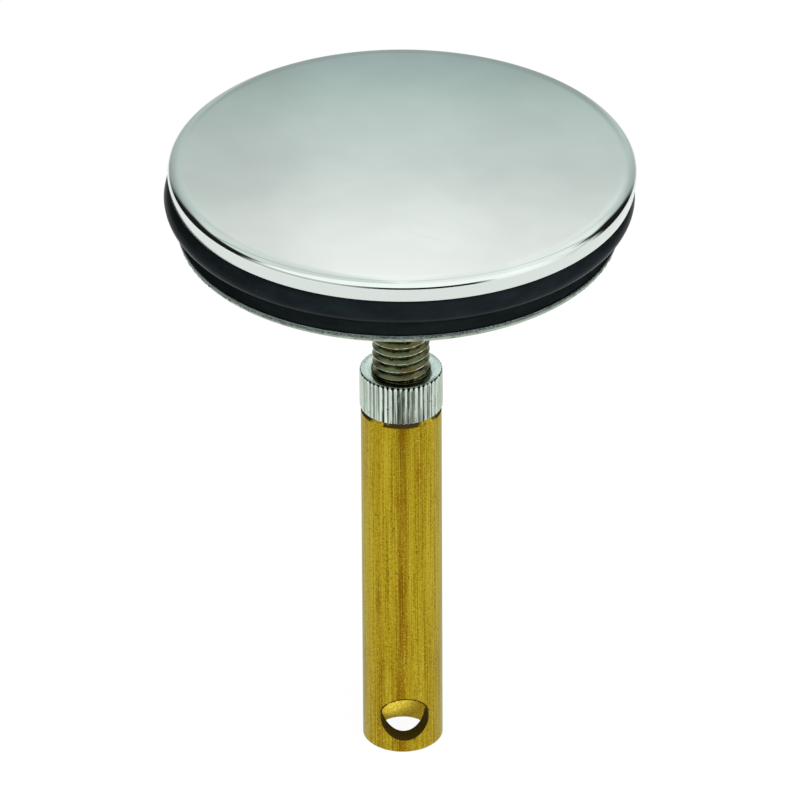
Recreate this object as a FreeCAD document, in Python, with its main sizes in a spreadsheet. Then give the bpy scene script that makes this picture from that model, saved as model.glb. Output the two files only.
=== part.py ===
import FreeCAD, Part
import os

import Sketcher

# Drain stopper with a screw-adjusted stem. Millimetres, +Z up, the stem stands on Z = 0 on the Z axis.
# Every driving size stands once in the sheet below; what fits or seats on another piece is worked out.

DRIVING_SIZES = [
    ("stem_d", 11.0, "outside of the brass stem"),
    ("stem_length", 52.8, "stem from its lower end to the face under the lock nut"),
    ("stem_wall", 1.55, "stem's wall round the thread"),
    ("stem_bore_wall", 2.5, "stem's wall round the bore that is open at the lower end"),
    ("stem_top_chamfer", 0.5, "outer edge under the lock nut"),
    ("stem_end_chamfer", 0.2, "outer edge of the lower end"),
    ("stem_mouth_chamfer", 0.6, "inner edge of the lower end"),
    ("tapped_depth", 27.0, "tapped part of the stem, from its top"),
    ("tapped_lead", 0.5, "lead-in chamfer of the tapped part"),
    ("cross_hole_d", 6.6, "hole for the lever, through the front wall"),
    ("cross_hole_height", 5.25, "hole's axis above the lower end"),
    ("stud_chamfer", 0.8, "both ends of the stud"),
    ("stud_in_stem", 16.0, "length of stud inside the stem"),
    ("stud_in_cap", 1.0, "tapped hole above the cap's underside"),
    ("stud_end_gap", 0.3, "stud short of the end of the cap's hole"),
    ("thread_clearance", 0.05, "stud to every tapped hole, on the radius"),
    ("lock_nut_proud", 0.15, "tips of the knurl outside the stem"),
    ("lock_nut_length", 6.0, "height of the lock nut"),
    ("lock_nut_chamfer", 0.4, "outer edges of the lock nut"),
    ("lock_nut_lead", 0.45, "countersink at both ends of its hole"),
    ("knurl_count", 48, "teeth round the lock nut"),
    ("knurl_depth", 0.3, "depth of the grooves between teeth"),
    ("knurl_groove", 0.62, "width of a groove at the tips of the teeth"),
    ("bare_stud", 17.75, "stud showing between lock nut and clamp nut"),
    ("clamp_nut_width", 13.0, "across flats"),
    ("clamp_nut_height", 4.0, "height of the clamp nut"),
    ("clamp_nut_slope", 0.6, "drop of the turned corners"),
    ("plate_thickness", 1.1, "backing plate"),
    ("plate_inset", 2.1, "plate's edge inside the cap's edge"),
    ("plate_edge", 0.25, "rounding of the plate's edges"),
    ("plate_clearance", 0.15, "stud to the plate's hole, on the radius"),
    ("flange_thickness", 2.2, "carrier's flange under the seal ring"),
    ("flange_inset", 2.0, "flange's edge inside the cap's edge"),
    ("flange_edge", 0.3, "rounding of the flange's edges"),
    ("seal_section_d", 4.0, "round section of the seal ring"),
    ("seal_proud", 0.3, "seal ring outside the cap's edge"),
    ("groove_clearance", 0.1, "seal ring to its groove, all round"),
    ("cap_d", 63.0, "outside of the cap"),
    ("cap_edge_height", 2.8, "cap's edge from underside to face"),
    ("cap_crown", 0.6, "rise of the face at its middle"),
    ("cap_edge_round", 0.8, "rounding between face and rim"),
    ("cap_lower_chamfer", 0.2, "lower edge of the rim"),
    ("boss_d", 14.0, "tapped boss under the cap"),
    ("boss_gap", 1.0, "boss short of the backing plate"),
    ("boss_chamfer", 0.6, "lower edge of the boss"),
    ("boss_clearance", 0.15, "boss to the carrier's hole, on the radius"),
]

# Radii and levels that follow from the driving sizes, as expressions.
STEM_R = "(Sizes.stem_d / 2)"
STEM_BORE_R = f"({STEM_R} - Sizes.stem_bore_wall)"
TAPPED_R = f"({STEM_R} - Sizes.stem_wall)"
STUD_R = f"({TAPPED_R} - Sizes.thread_clearance)"
LOCK_NUT_R = f"({STEM_R} + Sizes.lock_nut_proud)"
CAP_R = "(Sizes.cap_d / 2)"
SEAL_MID_R = f"({CAP_R} + Sizes.seal_proud - Sizes.seal_section_d / 2)"
HUB_R = f"({SEAL_MID_R} - Sizes.seal_section_d / 2 - Sizes.groove_clearance)"
GROOVE_HEIGHT = "(Sizes.seal_section_d + 2 * Sizes.groove_clearance)"
CARRIER_HEIGHT = f"(Sizes.flange_thickness + {GROOVE_HEIGHT})"
BOSS_LENGTH = f"({CARRIER_HEIGHT} - Sizes.boss_gap)"
LOCK_NUT_TOP = "(Sizes.stem_length + Sizes.lock_nut_length)"
CLAMP_NUT_Z = f"({LOCK_NUT_TOP} + Sizes.bare_stud)"
PLATE_Z = f"({CLAMP_NUT_Z} + Sizes.clamp_nut_height)"
CARRIER_Z = f"({PLATE_Z} + Sizes.plate_thickness)"
SEAL_Z = f"({CARRIER_Z} + Sizes.flange_thickness + {GROOVE_HEIGHT} / 2)"
CAP_UNDERSIDE = f"({CARRIER_Z} + {CARRIER_HEIGHT})"
STUD_Z = "(Sizes.stem_length - Sizes.stud_in_stem)"
STUD_LENGTH = f"({CAP_UNDERSIDE} + Sizes.stud_in_cap - Sizes.stud_end_gap - {STUD_Z})"

HEX_SIDES = 6
SAME_SIZE = 1e-5
SAME_DIRECTION = 1e-6

doc = FreeCAD.newDocument("drain_stopper")
sizes = doc.addObject("Spreadsheet::Sheet", "Sizes")


def fill_sheet():
    """Write each driving size as a row: its name, its value and what it is."""
    for row, (alias, value, meaning) in enumerate(DRIVING_SIZES, start=1):
        sizes.set(f"A{row}", alias)
        sizes.set(f"B{row}", str(value))
        sizes.set(f"C{row}", meaning)
        sizes.setAlias(f"B{row}", alias)
    doc.recompute()


def value_of(expression):
    """Number that an expression on the sheet gives."""
    return float(sizes.evalExpression(expression))


def new_body(label, base_z="0"):
    """Empty body of one sub-part, with its seat at the given height."""
    body = doc.addObject("PartDesign::Body", label)
    body.Label = label
    body.setExpression(".Placement.Base.z", base_z)
    return body


def new_sketch(body, name, plane_role):
    """Sketch on one of the body's own origin planes."""
    sketch = body.newObject("Sketcher::SketchObject", name)
    plane = [part for part in body.Origin.OriginFeatures if part.Role == plane_role][0]
    sketch.AttachmentSupport = [(plane, "")]
    sketch.MapMode = "FlatFace"
    return sketch


def bind(sketch, constraint, expression):
    """Add a constraint whose value is an expression on the sheet."""
    index = sketch.addConstraint(constraint)
    sketch.setExpression(f"Constraints[{index}]", expression)


def pin_point(sketch, curve, end, x_size, y_size):
    """Hold a curve's end at a place given by two expressions, each 0 or more."""
    for kind, axis_curve, size in (("DistanceX", -2, x_size), ("DistanceY", -1, y_size)):
        if size == "0":
            sketch.addConstraint(Sketcher.Constraint("PointOnObject", curve, end, axis_curve))
        else:
            bind(sketch, Sketcher.Constraint(kind, -1, 1, curve, end, value_of(size)), size)


def draw_outline(sketch, corners, crown=None):
    """Closed outline through the corners; side number crown is an arc centred on the upright axis."""
    places = [FreeCAD.Vector(value_of(x), value_of(y), 0) for x, y in corners]
    count = len(places)
    for side, start in enumerate(places):
        finish = places[(side + 1) % count]
        if side == crown:
            sketch.addGeometry(crown_arc(start, finish))
            sketch.addConstraint(Sketcher.Constraint("PointOnObject", side, 3, -2))
        else:
            sketch.addGeometry(Part.LineSegment(start, finish))
    for side in range(count):
        sketch.addConstraint(Sketcher.Constraint("Coincident", side, 2, (side + 1) % count, 1))
    for side, (x_size, y_size) in enumerate(corners):
        pin_point(sketch, side, 1, x_size, y_size)


def crown_arc(rim, top):
    """Arc from the rim up to the top on the axis, centred on the axis."""
    rise = top.y - rim.y
    radius = (rim.x ** 2 + rise ** 2) / (2 * rise)
    centre = FreeCAD.Vector(0, top.y - radius, 0)
    middle_x = rim.x / 2
    middle = FreeCAD.Vector(middle_x, centre.y + (radius ** 2 - middle_x ** 2) ** 0.5, 0)
    return Part.Arc(rim, middle, top)


def draw_circle(sketch, diameter, x_size="0", y_size="0", construction=False):
    """Circle with its diameter and centre bound to the sheet; gives its number in the sketch."""
    centre = FreeCAD.Vector(value_of(x_size), value_of(y_size), 0)
    round_line = Part.Circle(centre, FreeCAD.Vector(0, 0, 1), value_of(diameter) / 2)
    circle = sketch.addGeometry(round_line, construction)
    bind(sketch, Sketcher.Constraint("Diameter", circle, value_of(diameter)), diameter)
    pin_point(sketch, circle, 3, x_size, y_size)
    return circle


def revolve(body, name, corners, kind="PartDesign::Revolution", crown=None):
    """Turn a half section about the upright axis, as added or as cut material."""
    section = new_sketch(body, f"{name}_section", "XZ_Plane")
    draw_outline(section, corners, crown)
    turned = body.newObject(kind, name)
    turned.Profile = section
    turned.ReferenceAxis = (section, ["V_Axis"])
    turned.Angle = 360
    doc.recompute()
    return turned


def extrude(body, name, sketch, length, kind="PartDesign::Pad"):
    """Pad or pocket a sketch by a bound length."""
    feature = body.newObject(kind, name)
    feature.Profile = sketch
    feature.setExpression("Length", length)
    doc.recompute()
    return feature


def circles_at(shape, radius, height):
    """Names of the level circular edges of a radius at a height in the body's own frame."""
    names = []
    for number, edge in enumerate(shape.Edges, start=1):
        if edge.Degenerated:
            continue
        curve = edge.Curve
        if curve.TypeId != "Part::GeomCircle" or abs(abs(curve.Axis.z) - 1) > SAME_DIRECTION:
            continue
        if abs(curve.Radius - radius) < SAME_SIZE and abs(curve.Center.z - height) < SAME_SIZE:
            names.append(f"Edge{number}")
    return names


def dress_edges(body, kind, name, base, places, size_property, size):
    """Fillet or chamfer the circular edges at the given radii and heights."""
    names = []
    for radius, height in places:
        names += circles_at(base.Shape, value_of(radius), value_of(height))
    feature = body.newObject(kind, name)
    feature.Base = (base, names)
    feature.setExpression(size_property, size)
    doc.recompute()
    return feature


def make_stem():
    """Brass tube, tapped at the top, with a drilled step down to the lower bore and a lever hole."""
    body = new_body("stem")
    top = "Sizes.stem_length"
    tapped_end = f"({top} - Sizes.tapped_depth)"
    revolve(body, "stem_turned", [
        (f"{STEM_BORE_R} + Sizes.stem_mouth_chamfer", "0"),
        (f"{STEM_R} - Sizes.stem_end_chamfer", "0"),
        (STEM_R, "Sizes.stem_end_chamfer"),
        (STEM_R, f"{top} - Sizes.stem_top_chamfer"),
        (f"{STEM_R} - Sizes.stem_top_chamfer", top),
        (f"{TAPPED_R} + Sizes.tapped_lead", top),
        (TAPPED_R, f"{top} - Sizes.tapped_lead"),
        (TAPPED_R, tapped_end),
        (STEM_BORE_R, f"{tapped_end} - ({TAPPED_R} - {STEM_BORE_R})"),
        (STEM_BORE_R, "Sizes.stem_mouth_chamfer"),
    ])
    hole = new_sketch(body, "lever_hole_circle", "XZ_Plane")
    draw_circle(hole, "Sizes.cross_hole_d", "0", "Sizes.cross_hole_height")
    pocket = extrude(body, "lever_hole", hole, "Sizes.stem_d", "PartDesign::Pocket")
    pocket.Reversed = True
    doc.recompute()
    return body


def make_lock_nut():
    """Round nut with chamfered ends and V grooves cut between the teeth of a straight knurl."""
    body = new_body("lock_nut", "Sizes.stem_length")
    top = "Sizes.lock_nut_length"
    revolve(body, "lock_nut_turned", [
        (f"{TAPPED_R} + Sizes.lock_nut_lead", "0"),
        (f"{LOCK_NUT_R} - Sizes.lock_nut_chamfer", "0"),
        (LOCK_NUT_R, "Sizes.lock_nut_chamfer"),
        (LOCK_NUT_R, f"{top} - Sizes.lock_nut_chamfer"),
        (f"{LOCK_NUT_R} - Sizes.lock_nut_chamfer", top),
        (f"{TAPPED_R} + Sizes.lock_nut_lead", top),
        (TAPPED_R, f"{top} - Sizes.lock_nut_lead"),
        (TAPPED_R, "Sizes.lock_nut_lead"),
    ])
    groove = new_sketch(body, "knurl_vee", "XY_Plane")
    draw_vee(groove, LOCK_NUT_R)
    cut = extrude(body, "knurl_groove", groove, top, "PartDesign::Pocket")
    cut.Reversed = True
    doc.recompute()
    knurl = body.newObject("PartDesign::PolarPattern", "knurl")
    knurl.Originals = [cut]
    knurl.Axis = (groove, ["N_Axis"])
    knurl.Angle = 360
    knurl.setExpression("Occurrences", "Sizes.knurl_count")
    body.Tip = knurl
    doc.recompute()
    return body


def draw_vee(sketch, tip_radius):
    """Triangle that cuts one groove: its root inside the teeth, its mouth as far outside them."""
    root = f"({tip_radius} - Sizes.knurl_depth)"
    mouth = f"({tip_radius} + Sizes.knurl_depth)"
    root_point = FreeCAD.Vector(value_of(root), 0, 0)
    half_mouth = value_of("Sizes.knurl_groove")
    left = FreeCAD.Vector(value_of(mouth), half_mouth, 0)
    right = FreeCAD.Vector(value_of(mouth), -half_mouth, 0)
    for start, finish in ((root_point, right), (right, left), (left, root_point)):
        sketch.addGeometry(Part.LineSegment(start, finish))
    for side in range(3):
        sketch.addConstraint(Sketcher.Constraint("Coincident", side, 2, (side + 1) % 3, 1))
    pin_point(sketch, 0, 1, root, "0")
    sketch.addConstraint(Sketcher.Constraint("Symmetric", 1, 1, 1, 2, -1))
    bind(sketch, Sketcher.Constraint("DistanceX", -1, 1, 1, 1, value_of(mouth)), mouth)
    bind(sketch, Sketcher.Constraint("DistanceY", 1, 1, 1, 2, 2 * half_mouth), "2 * Sizes.knurl_groove")


def make_threaded_stud():
    """Plain bar over the crests of the thread, chamfered at both ends."""
    body = new_body("threaded_stud", STUD_Z)
    revolve(body, "stud_turned", [
        ("0", "0"),
        (f"{STUD_R} - Sizes.stud_chamfer", "0"),
        (STUD_R, "Sizes.stud_chamfer"),
        (STUD_R, f"{STUD_LENGTH} - Sizes.stud_chamfer"),
        (f"{STUD_R} - Sizes.stud_chamfer", STUD_LENGTH),
        ("0", STUD_LENGTH),
    ])
    return body


def make_clamp_nut():
    """Thin hex nut with its corners turned off at both ends."""
    body = new_body("clamp_nut", CLAMP_NUT_Z)
    height = "Sizes.clamp_nut_height"
    across = "Sizes.clamp_nut_width"
    corner = f"({across} / 2 / cos(30))"
    hexagon = new_sketch(body, "hexagon", "XY_Plane")
    draw_hexagon(hexagon, corner)
    draw_circle(hexagon, f"2 * {TAPPED_R}")
    extrude(body, "hex_bar", hexagon, height)
    flat = f"({across} / 2)"
    slope = "Sizes.clamp_nut_slope"
    outside = f"({corner} + {flat})"
    run = f"(({outside} - {flat}) / ({corner} - {flat}))"
    revolve(body, "lower_corners", [
        (flat, "0"),
        (outside, "0"),
        (outside, f"{slope} * {run}"),
    ], "PartDesign::Groove")
    revolve(body, "upper_corners", [
        (flat, height),
        (outside, f"{height} - {slope} * {run}"),
        (outside, height),
    ], "PartDesign::Groove")
    return body


def draw_hexagon(sketch, corner_radius):
    """Regular hexagon about the origin with two sides level, its corners on a construction circle."""
    radius = value_of(corner_radius)
    corners = []
    for number in range(HEX_SIDES):
        turn = FreeCAD.Rotation(FreeCAD.Vector(0, 0, 1), 360 / HEX_SIDES * number)
        corners.append(turn.multVec(FreeCAD.Vector(radius, 0, 0)))
    for side in range(HEX_SIDES):
        sketch.addGeometry(Part.LineSegment(corners[side], corners[(side + 1) % HEX_SIDES]))
    circle = draw_circle(sketch, f"2 * {corner_radius}", construction=True)
    for side in range(HEX_SIDES):
        sketch.addConstraint(Sketcher.Constraint("Coincident", side, 2, (side + 1) % HEX_SIDES, 1))
        sketch.addConstraint(Sketcher.Constraint("PointOnObject", side, 1, circle))
    for side in range(1, HEX_SIDES):
        sketch.addConstraint(Sketcher.Constraint("Equal", 0, side))
    sketch.addConstraint(Sketcher.Constraint("Horizontal", 1))


def make_backing_plate():
    """Thin metal disc with rounded edges and a clear hole for the stud."""
    body = new_body("backing_plate", PLATE_Z)
    radius = f"({CAP_R} - Sizes.plate_inset)"
    disc = new_sketch(body, "plate_circles", "XY_Plane")
    draw_circle(disc, f"2 * {radius}")
    draw_circle(disc, f"2 * ({STUD_R} + Sizes.plate_clearance)")
    plate = extrude(body, "plate", disc, "Sizes.plate_thickness")
    places = [(radius, "0"), (radius, "Sizes.plate_thickness")]
    dress_edges(body, "PartDesign::Fillet", "plate_edges", plate, places, "Radius", "Sizes.plate_edge")
    return body


def make_seal_carrier():
    """Disc with a flange under the seal ring and a hub inside it."""
    body = new_body("seal_carrier", CARRIER_Z)
    flange = f"({CAP_R} - Sizes.flange_inset)"
    hole = "(Sizes.boss_d / 2 + Sizes.boss_clearance)"
    turned = revolve(body, "carrier_turned", [
        (hole, "0"),
        (flange, "0"),
        (flange, "Sizes.flange_thickness"),
        (HUB_R, "Sizes.flange_thickness"),
        (HUB_R, CARRIER_HEIGHT),
        (hole, CARRIER_HEIGHT),
    ])
    places = [(flange, "0"), (flange, "Sizes.flange_thickness")]
    dress_edges(body, "PartDesign::Fillet", "flange_edges", turned, places, "Radius", "Sizes.flange_edge")
    return body


def make_seal_ring():
    """Rubber ring of round section in the groove between the flange and the cap."""
    ring = doc.addObject("Part::Torus", "seal_ring")
    ring.Label = "seal_ring"
    ring.setExpression("Radius1", SEAL_MID_R)
    ring.setExpression("Radius2", "Sizes.seal_section_d / 2")
    ring.setExpression(".Placement.Base.z", SEAL_Z)
    doc.recompute()
    return ring


def make_plug_cap():
    """Crowned disc with a rounded edge and a tapped boss below; its own zero is the boss's end."""
    body = new_body("plug_cap", f"{CAP_UNDERSIDE} - {BOSS_LENGTH}")
    boss = "(Sizes.boss_d / 2)"
    edge_top = f"({BOSS_LENGTH} + Sizes.cap_edge_height)"
    hole_end = f"({BOSS_LENGTH} + Sizes.stud_in_cap)"
    turned = revolve(body, "cap_turned", [
        (TAPPED_R, "0"),
        (f"{boss} - Sizes.boss_chamfer", "0"),
        (boss, "Sizes.boss_chamfer"),
        (boss, BOSS_LENGTH),
        (f"{CAP_R} - Sizes.cap_lower_chamfer", BOSS_LENGTH),
        (CAP_R, f"{BOSS_LENGTH} + Sizes.cap_lower_chamfer"),
        (CAP_R, edge_top),
        ("0", f"{edge_top} + Sizes.cap_crown"),
        ("0", hole_end),
        (TAPPED_R, hole_end),
    ], crown=6)
    places = [(CAP_R, edge_top)]
    dress_edges(body, "PartDesign::Fillet", "cap_edge", turned, places, "Radius", "Sizes.cap_edge_round")
    return body


def check_document(parts):
    """Stop on any failed object, or a sub-part that isn't one valid solid."""
    for item in doc.Objects:
        if "Invalid" in item.State or "Error" in item.State:
            raise RuntimeError(f"{item.Label} failed: {item.State}")
    for part in parts:
        shape = part.Shape
        if shape.isNull() or not shape.isValid() or len(shape.Solids) != 1:
            raise RuntimeError(f"{part.Label} is not one valid solid")


def write_parts(parts):
    """Write each sub-part to a file named after its label."""
    os.makedirs("parts", exist_ok=True)
    for part in parts:
        part.Shape.exportStep(os.path.join("parts", f"{part.Label}.step"))
        print(f"{part.Label}: {part.Shape.Volume:.2f} mm3")


def main():
    """Build, check and write the stopper."""
    fill_sheet()
    makers = [
        make_stem,
        make_lock_nut,
        make_threaded_stud,
        make_clamp_nut,
        make_backing_plate,
        make_seal_carrier,
        make_seal_ring,
        make_plug_cap,
    ]
    parts = [maker() for maker in makers]
    doc.recompute()
    check_document(parts)
    write_parts(parts)


main()
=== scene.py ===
"""Drain stopper: polished plug head with a rubber seal, threaded stud, knurled lock nut and brass stem.

Sizes are in millimetres and become metres when a mesh is drawn. +Z is up, the stem stands on Z = 0, and the
lever hole faces -Y.
"""

import logging
import math
from collections.abc import Callable, Sequence
from dataclasses import dataclass, field
from enum import Enum
from itertools import pairwise

import bmesh
import bpy
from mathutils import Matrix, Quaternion, Vector


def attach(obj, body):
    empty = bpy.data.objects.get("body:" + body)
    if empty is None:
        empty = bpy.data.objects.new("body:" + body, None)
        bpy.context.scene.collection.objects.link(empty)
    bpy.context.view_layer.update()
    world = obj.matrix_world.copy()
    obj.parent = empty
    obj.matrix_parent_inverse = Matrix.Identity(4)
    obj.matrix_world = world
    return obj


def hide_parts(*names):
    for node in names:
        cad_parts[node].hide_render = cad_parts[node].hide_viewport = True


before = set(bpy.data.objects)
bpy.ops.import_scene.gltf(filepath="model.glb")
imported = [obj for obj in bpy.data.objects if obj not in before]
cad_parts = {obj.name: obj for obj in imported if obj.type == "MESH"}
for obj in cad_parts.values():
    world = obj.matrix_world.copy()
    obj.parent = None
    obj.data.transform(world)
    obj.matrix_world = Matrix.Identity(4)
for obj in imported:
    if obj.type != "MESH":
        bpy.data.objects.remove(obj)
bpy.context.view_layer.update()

Colour = tuple[float, float, float, float]
Socket = bpy.types.NodeSocket

LOG = logging.getLogger("drain_stopper")
MM = 0.001
FULL_TURN = 2 * math.pi
WELD = 0.001 * MM

# The head has play on its thread: it leans to the right, in degrees, about a height, and sinks, in mm.
HEAD_LEAN = 0.26
HEAD_PIVOT = 86.0
HEAD_SINK = 0.03

# Sizes in mm that several pieces share: the stem's upper end, which carries the lock nut, and tapped holes.
STEM_TOP = 52.8
TAPPED_RADIUS = 3.95

BLACK: Colour = (0.0, 0.0, 0.0, 1.0)
WHITE: Colour = (1.0, 1.0, 1.0, 1.0)
DARK_ROOM: Colour = (0.012, 0.013, 0.013, 1.0)


def tint(red: int, green: int, blue: int) -> Colour:
    """Scene colour of a screen colour.

    Args:
        red: Red level, 0 to 255.
        green: Green level, 0 to 255.
        blue: Blue level, 0 to 255.

    Returns:
        The colour in linear light, with full alpha.
    """
    def linear(level: int) -> float:
        """Linear light of one screen level."""
        share = level / 255
        return share / 12.92 if share <= 0.04045 else ((share + 0.055) / 1.055) ** 2.4

    return (linear(red), linear(green), linear(blue), 1.0)


def scaled(colour: Colour, share: float) -> Colour:
    """Colour at a share of its brightness, with full alpha."""
    return (share * colour[0], share * colour[1], share * colour[2], 1.0)


class Body(Enum):
    """Moving bodies of the stopper."""

    STEM = "stem"
    LOCK_NUT = "lock_nut"
    SEAL = "seal"
    HEAD = "head"


class Blend(Enum):
    """Boolean cuts used on turned pieces."""

    CUT = "DIFFERENCE"
    KEEP_COMMON = "INTERSECT"


@dataclass(frozen=True)
class Corner:
    """Corner of a half section.

    Attributes:
        r: Distance from the axis, in mm.
        z: Height, in mm.
        cut: How far the corner's rounding reaches back along both sides, in mm; 0 leaves it sharp.
        segments: Number of sides of that rounding.
    """

    r: float
    z: float
    cut: float = 0.0
    segments: int = 3

    def place(self) -> Vector:
        """Point of the corner in the XZ plane, in metres."""
        return Vector((self.r * MM, 0.0, self.z * MM))


class Bench:
    """Modelling bench: the operators that shape one piece, with all else left unselected."""

    @staticmethod
    def clear() -> None:
        """Leave edit mode and deselect everything."""
        if bpy.context.object is not None and bpy.context.object.mode != "OBJECT":
            bpy.ops.object.mode_set(mode="OBJECT")
        bpy.ops.object.select_all(action="DESELECT")

    @staticmethod
    def take(piece: bpy.types.Object) -> None:
        """Make one object the only selected and active one.

        Args:
            piece: Object to work on.
        """
        Bench.clear()
        piece.select_set(True)
        bpy.context.view_layer.objects.active = piece

    @staticmethod
    def adopt(name: str) -> bpy.types.Object:
        """Name a new primitive and move its place into its mesh.

        Args:
            name: Name of the piece.

        Returns:
            The primitive's object, at the origin.
        """
        piece = bpy.context.object
        piece.name = name
        piece.data.name = name
        bpy.ops.object.transform_apply(location=True, rotation=True, scale=True)
        return piece

    @staticmethod
    def edit(kind: str = "VERT") -> None:
        """Enter edit mode on the active piece with nothing selected.

        Args:
            kind: What is selected: VERT, EDGE or FACE.
        """
        bpy.ops.object.mode_set(mode="EDIT")
        bpy.ops.mesh.select_mode(type=kind)
        bpy.ops.mesh.select_all(action="DESELECT")

    @staticmethod
    def leave() -> None:
        """Leave edit mode."""
        bpy.ops.object.mode_set(mode="OBJECT")

    @staticmethod
    def pick_points(wanted: Callable[[Vector], bool]) -> int:
        """Select the vertices of the piece in edit mode that pass a test of their place.

        Args:
            wanted: Test of a place in mm.

        Returns:
            How many vertices were selected.
        """
        mesh = bpy.context.object.data
        shape = bmesh.from_edit_mesh(mesh)
        count = 0
        for point in shape.verts:
            point.select_set(wanted(point.co / MM))
            count += point.select
        shape.select_flush_mode()
        bmesh.update_edit_mesh(mesh)
        return count

    @staticmethod
    def pick_edges(wanted: Callable[[Vector, Vector], bool]) -> int:
        """Select the edges of the piece in edit mode that pass a test of their ends.

        Args:
            wanted: Test of the two ends' places in mm.

        Returns:
            How many edges were selected.
        """
        mesh = bpy.context.object.data
        shape = bmesh.from_edit_mesh(mesh)
        count = 0
        for edge in shape.edges:
            first, second = edge.verts
            edge.select_set(wanted(first.co / MM, second.co / MM))
            count += edge.select
        bmesh.update_edit_mesh(mesh)
        return count

    @staticmethod
    def draw_section(name: str, corners: Sequence[Corner], closed: bool) -> bpy.types.Object:
        """Draw a half section by extruding one vertex from corner to corner, and round its corners.

        Args:
            name: Name of the piece.
            corners: Corners in order.
            closed: Whether the last corner joins the first.

        Returns:
            The section's object, in edit mode.
        """
        Bench.clear()
        bpy.ops.mesh.primitive_plane_add(size=MM, location=corners[0].place())
        piece = Bench.adopt(name)
        Bench.edit()
        bpy.ops.mesh.select_all(action="SELECT")
        bpy.ops.mesh.merge(type="CENTER")
        for start, finish in pairwise(corners):
            step = finish.place() - start.place()
            bpy.ops.mesh.extrude_region_move(TRANSFORM_OT_translate={"value": step})
        if closed:
            ends = (corners[0].place() / MM, corners[-1].place() / MM)
            Bench.pick_points(lambda at: any((at - end).length < WELD / MM for end in ends))
            bpy.ops.mesh.edge_face_add()
        for corner in corners:
            if corner.cut:
                at_corner = corner.place() / MM
                Bench.pick_points(lambda at, spot=at_corner: (at - spot).length < WELD / MM)
                bpy.ops.mesh.bevel(offset=corner.cut * MM, segments=corner.segments, affect="VERTICES")
        return piece

    @staticmethod
    def turn(name: str, corners: Sequence[Corner], steps: int, closed: bool = True) -> bpy.types.Object:
        """Turn a half section about the Z axis.

        Args:
            name: Name of the piece.
            corners: Corners of the half section in order.
            steps: Number of facets round the axis.
            closed: Whether the section is a closed loop; otherwise its ends lie on the axis.

        Returns:
            The turned piece.
        """
        piece = Bench.draw_section(name, corners, closed)
        bpy.ops.mesh.select_all(action="SELECT")
        bpy.ops.mesh.spin(steps=steps, angle=FULL_TURN, center=(0, 0, 0), axis=(0, 0, 1))
        Bench.close_up()
        Bench.leave()
        return piece

    @staticmethod
    def close_up() -> None:
        """Weld seams and poles of the piece in edit mode and point its faces outwards."""
        bpy.ops.mesh.select_all(action="SELECT")
        bpy.ops.mesh.remove_doubles(threshold=WELD)
        bpy.ops.mesh.normals_make_consistent(inside=False)

    @staticmethod
    def combine(piece: bpy.types.Object, tool: bpy.types.Object, blend: Blend) -> None:
        """Cut a piece with a tool body, which is used up.

        Args:
            piece: Piece to change.
            tool: Body that cuts it.
            blend: Which part stays.
        """
        Bench.take(piece)
        modifier = piece.modifiers.new("cut", "BOOLEAN")
        modifier.operation = blend.value
        modifier.solver = "EXACT"
        modifier.object = tool
        bpy.ops.object.modifier_apply(modifier=modifier.name)
        bpy.data.objects.remove(tool, do_unlink=True)
        Bench.edit()
        Bench.close_up()
        Bench.leave()

    @staticmethod
    def seat_loosely(piece: bpy.types.Object, beyond: float, above: float, aside: float,
                     forward: float = 0.0) -> None:
        """Move what lies far out or high up a little to one side and tip it, as pieces with play sit.

        Args:
            piece: Piece to change.
            beyond: Distance from the axis beyond which points move, in mm.
            above: Height above which points move too, in mm.
            aside: How far they move along X, in mm.
            forward: How far they tip towards the front, in degrees.
        """
        Bench.take(piece)
        Bench.edit()
        Bench.pick_points(lambda at: math.hypot(at.x, at.y) > beyond or at.z > above)
        bpy.ops.transform.translate(value=(aside * MM, 0, -HEAD_SINK * MM))
        for axis, degrees in (("Y", HEAD_LEAN), ("X", forward)):
            bpy.ops.transform.rotate(value=-math.radians(degrees), orient_axis=axis, orient_type="GLOBAL",
                                     center_override=(0, 0, HEAD_PIVOT * MM))
        Bench.leave()

    @staticmethod
    def smooth(piece: bpy.types.Object, degrees: float) -> None:
        """Shade a piece smooth, with edges sharper than an angle left sharp.

        Args:
            piece: Piece to shade.
            degrees: The angle.
        """
        Bench.take(piece)
        bpy.ops.object.shade_smooth_by_angle(angle=math.radians(degrees))


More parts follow.
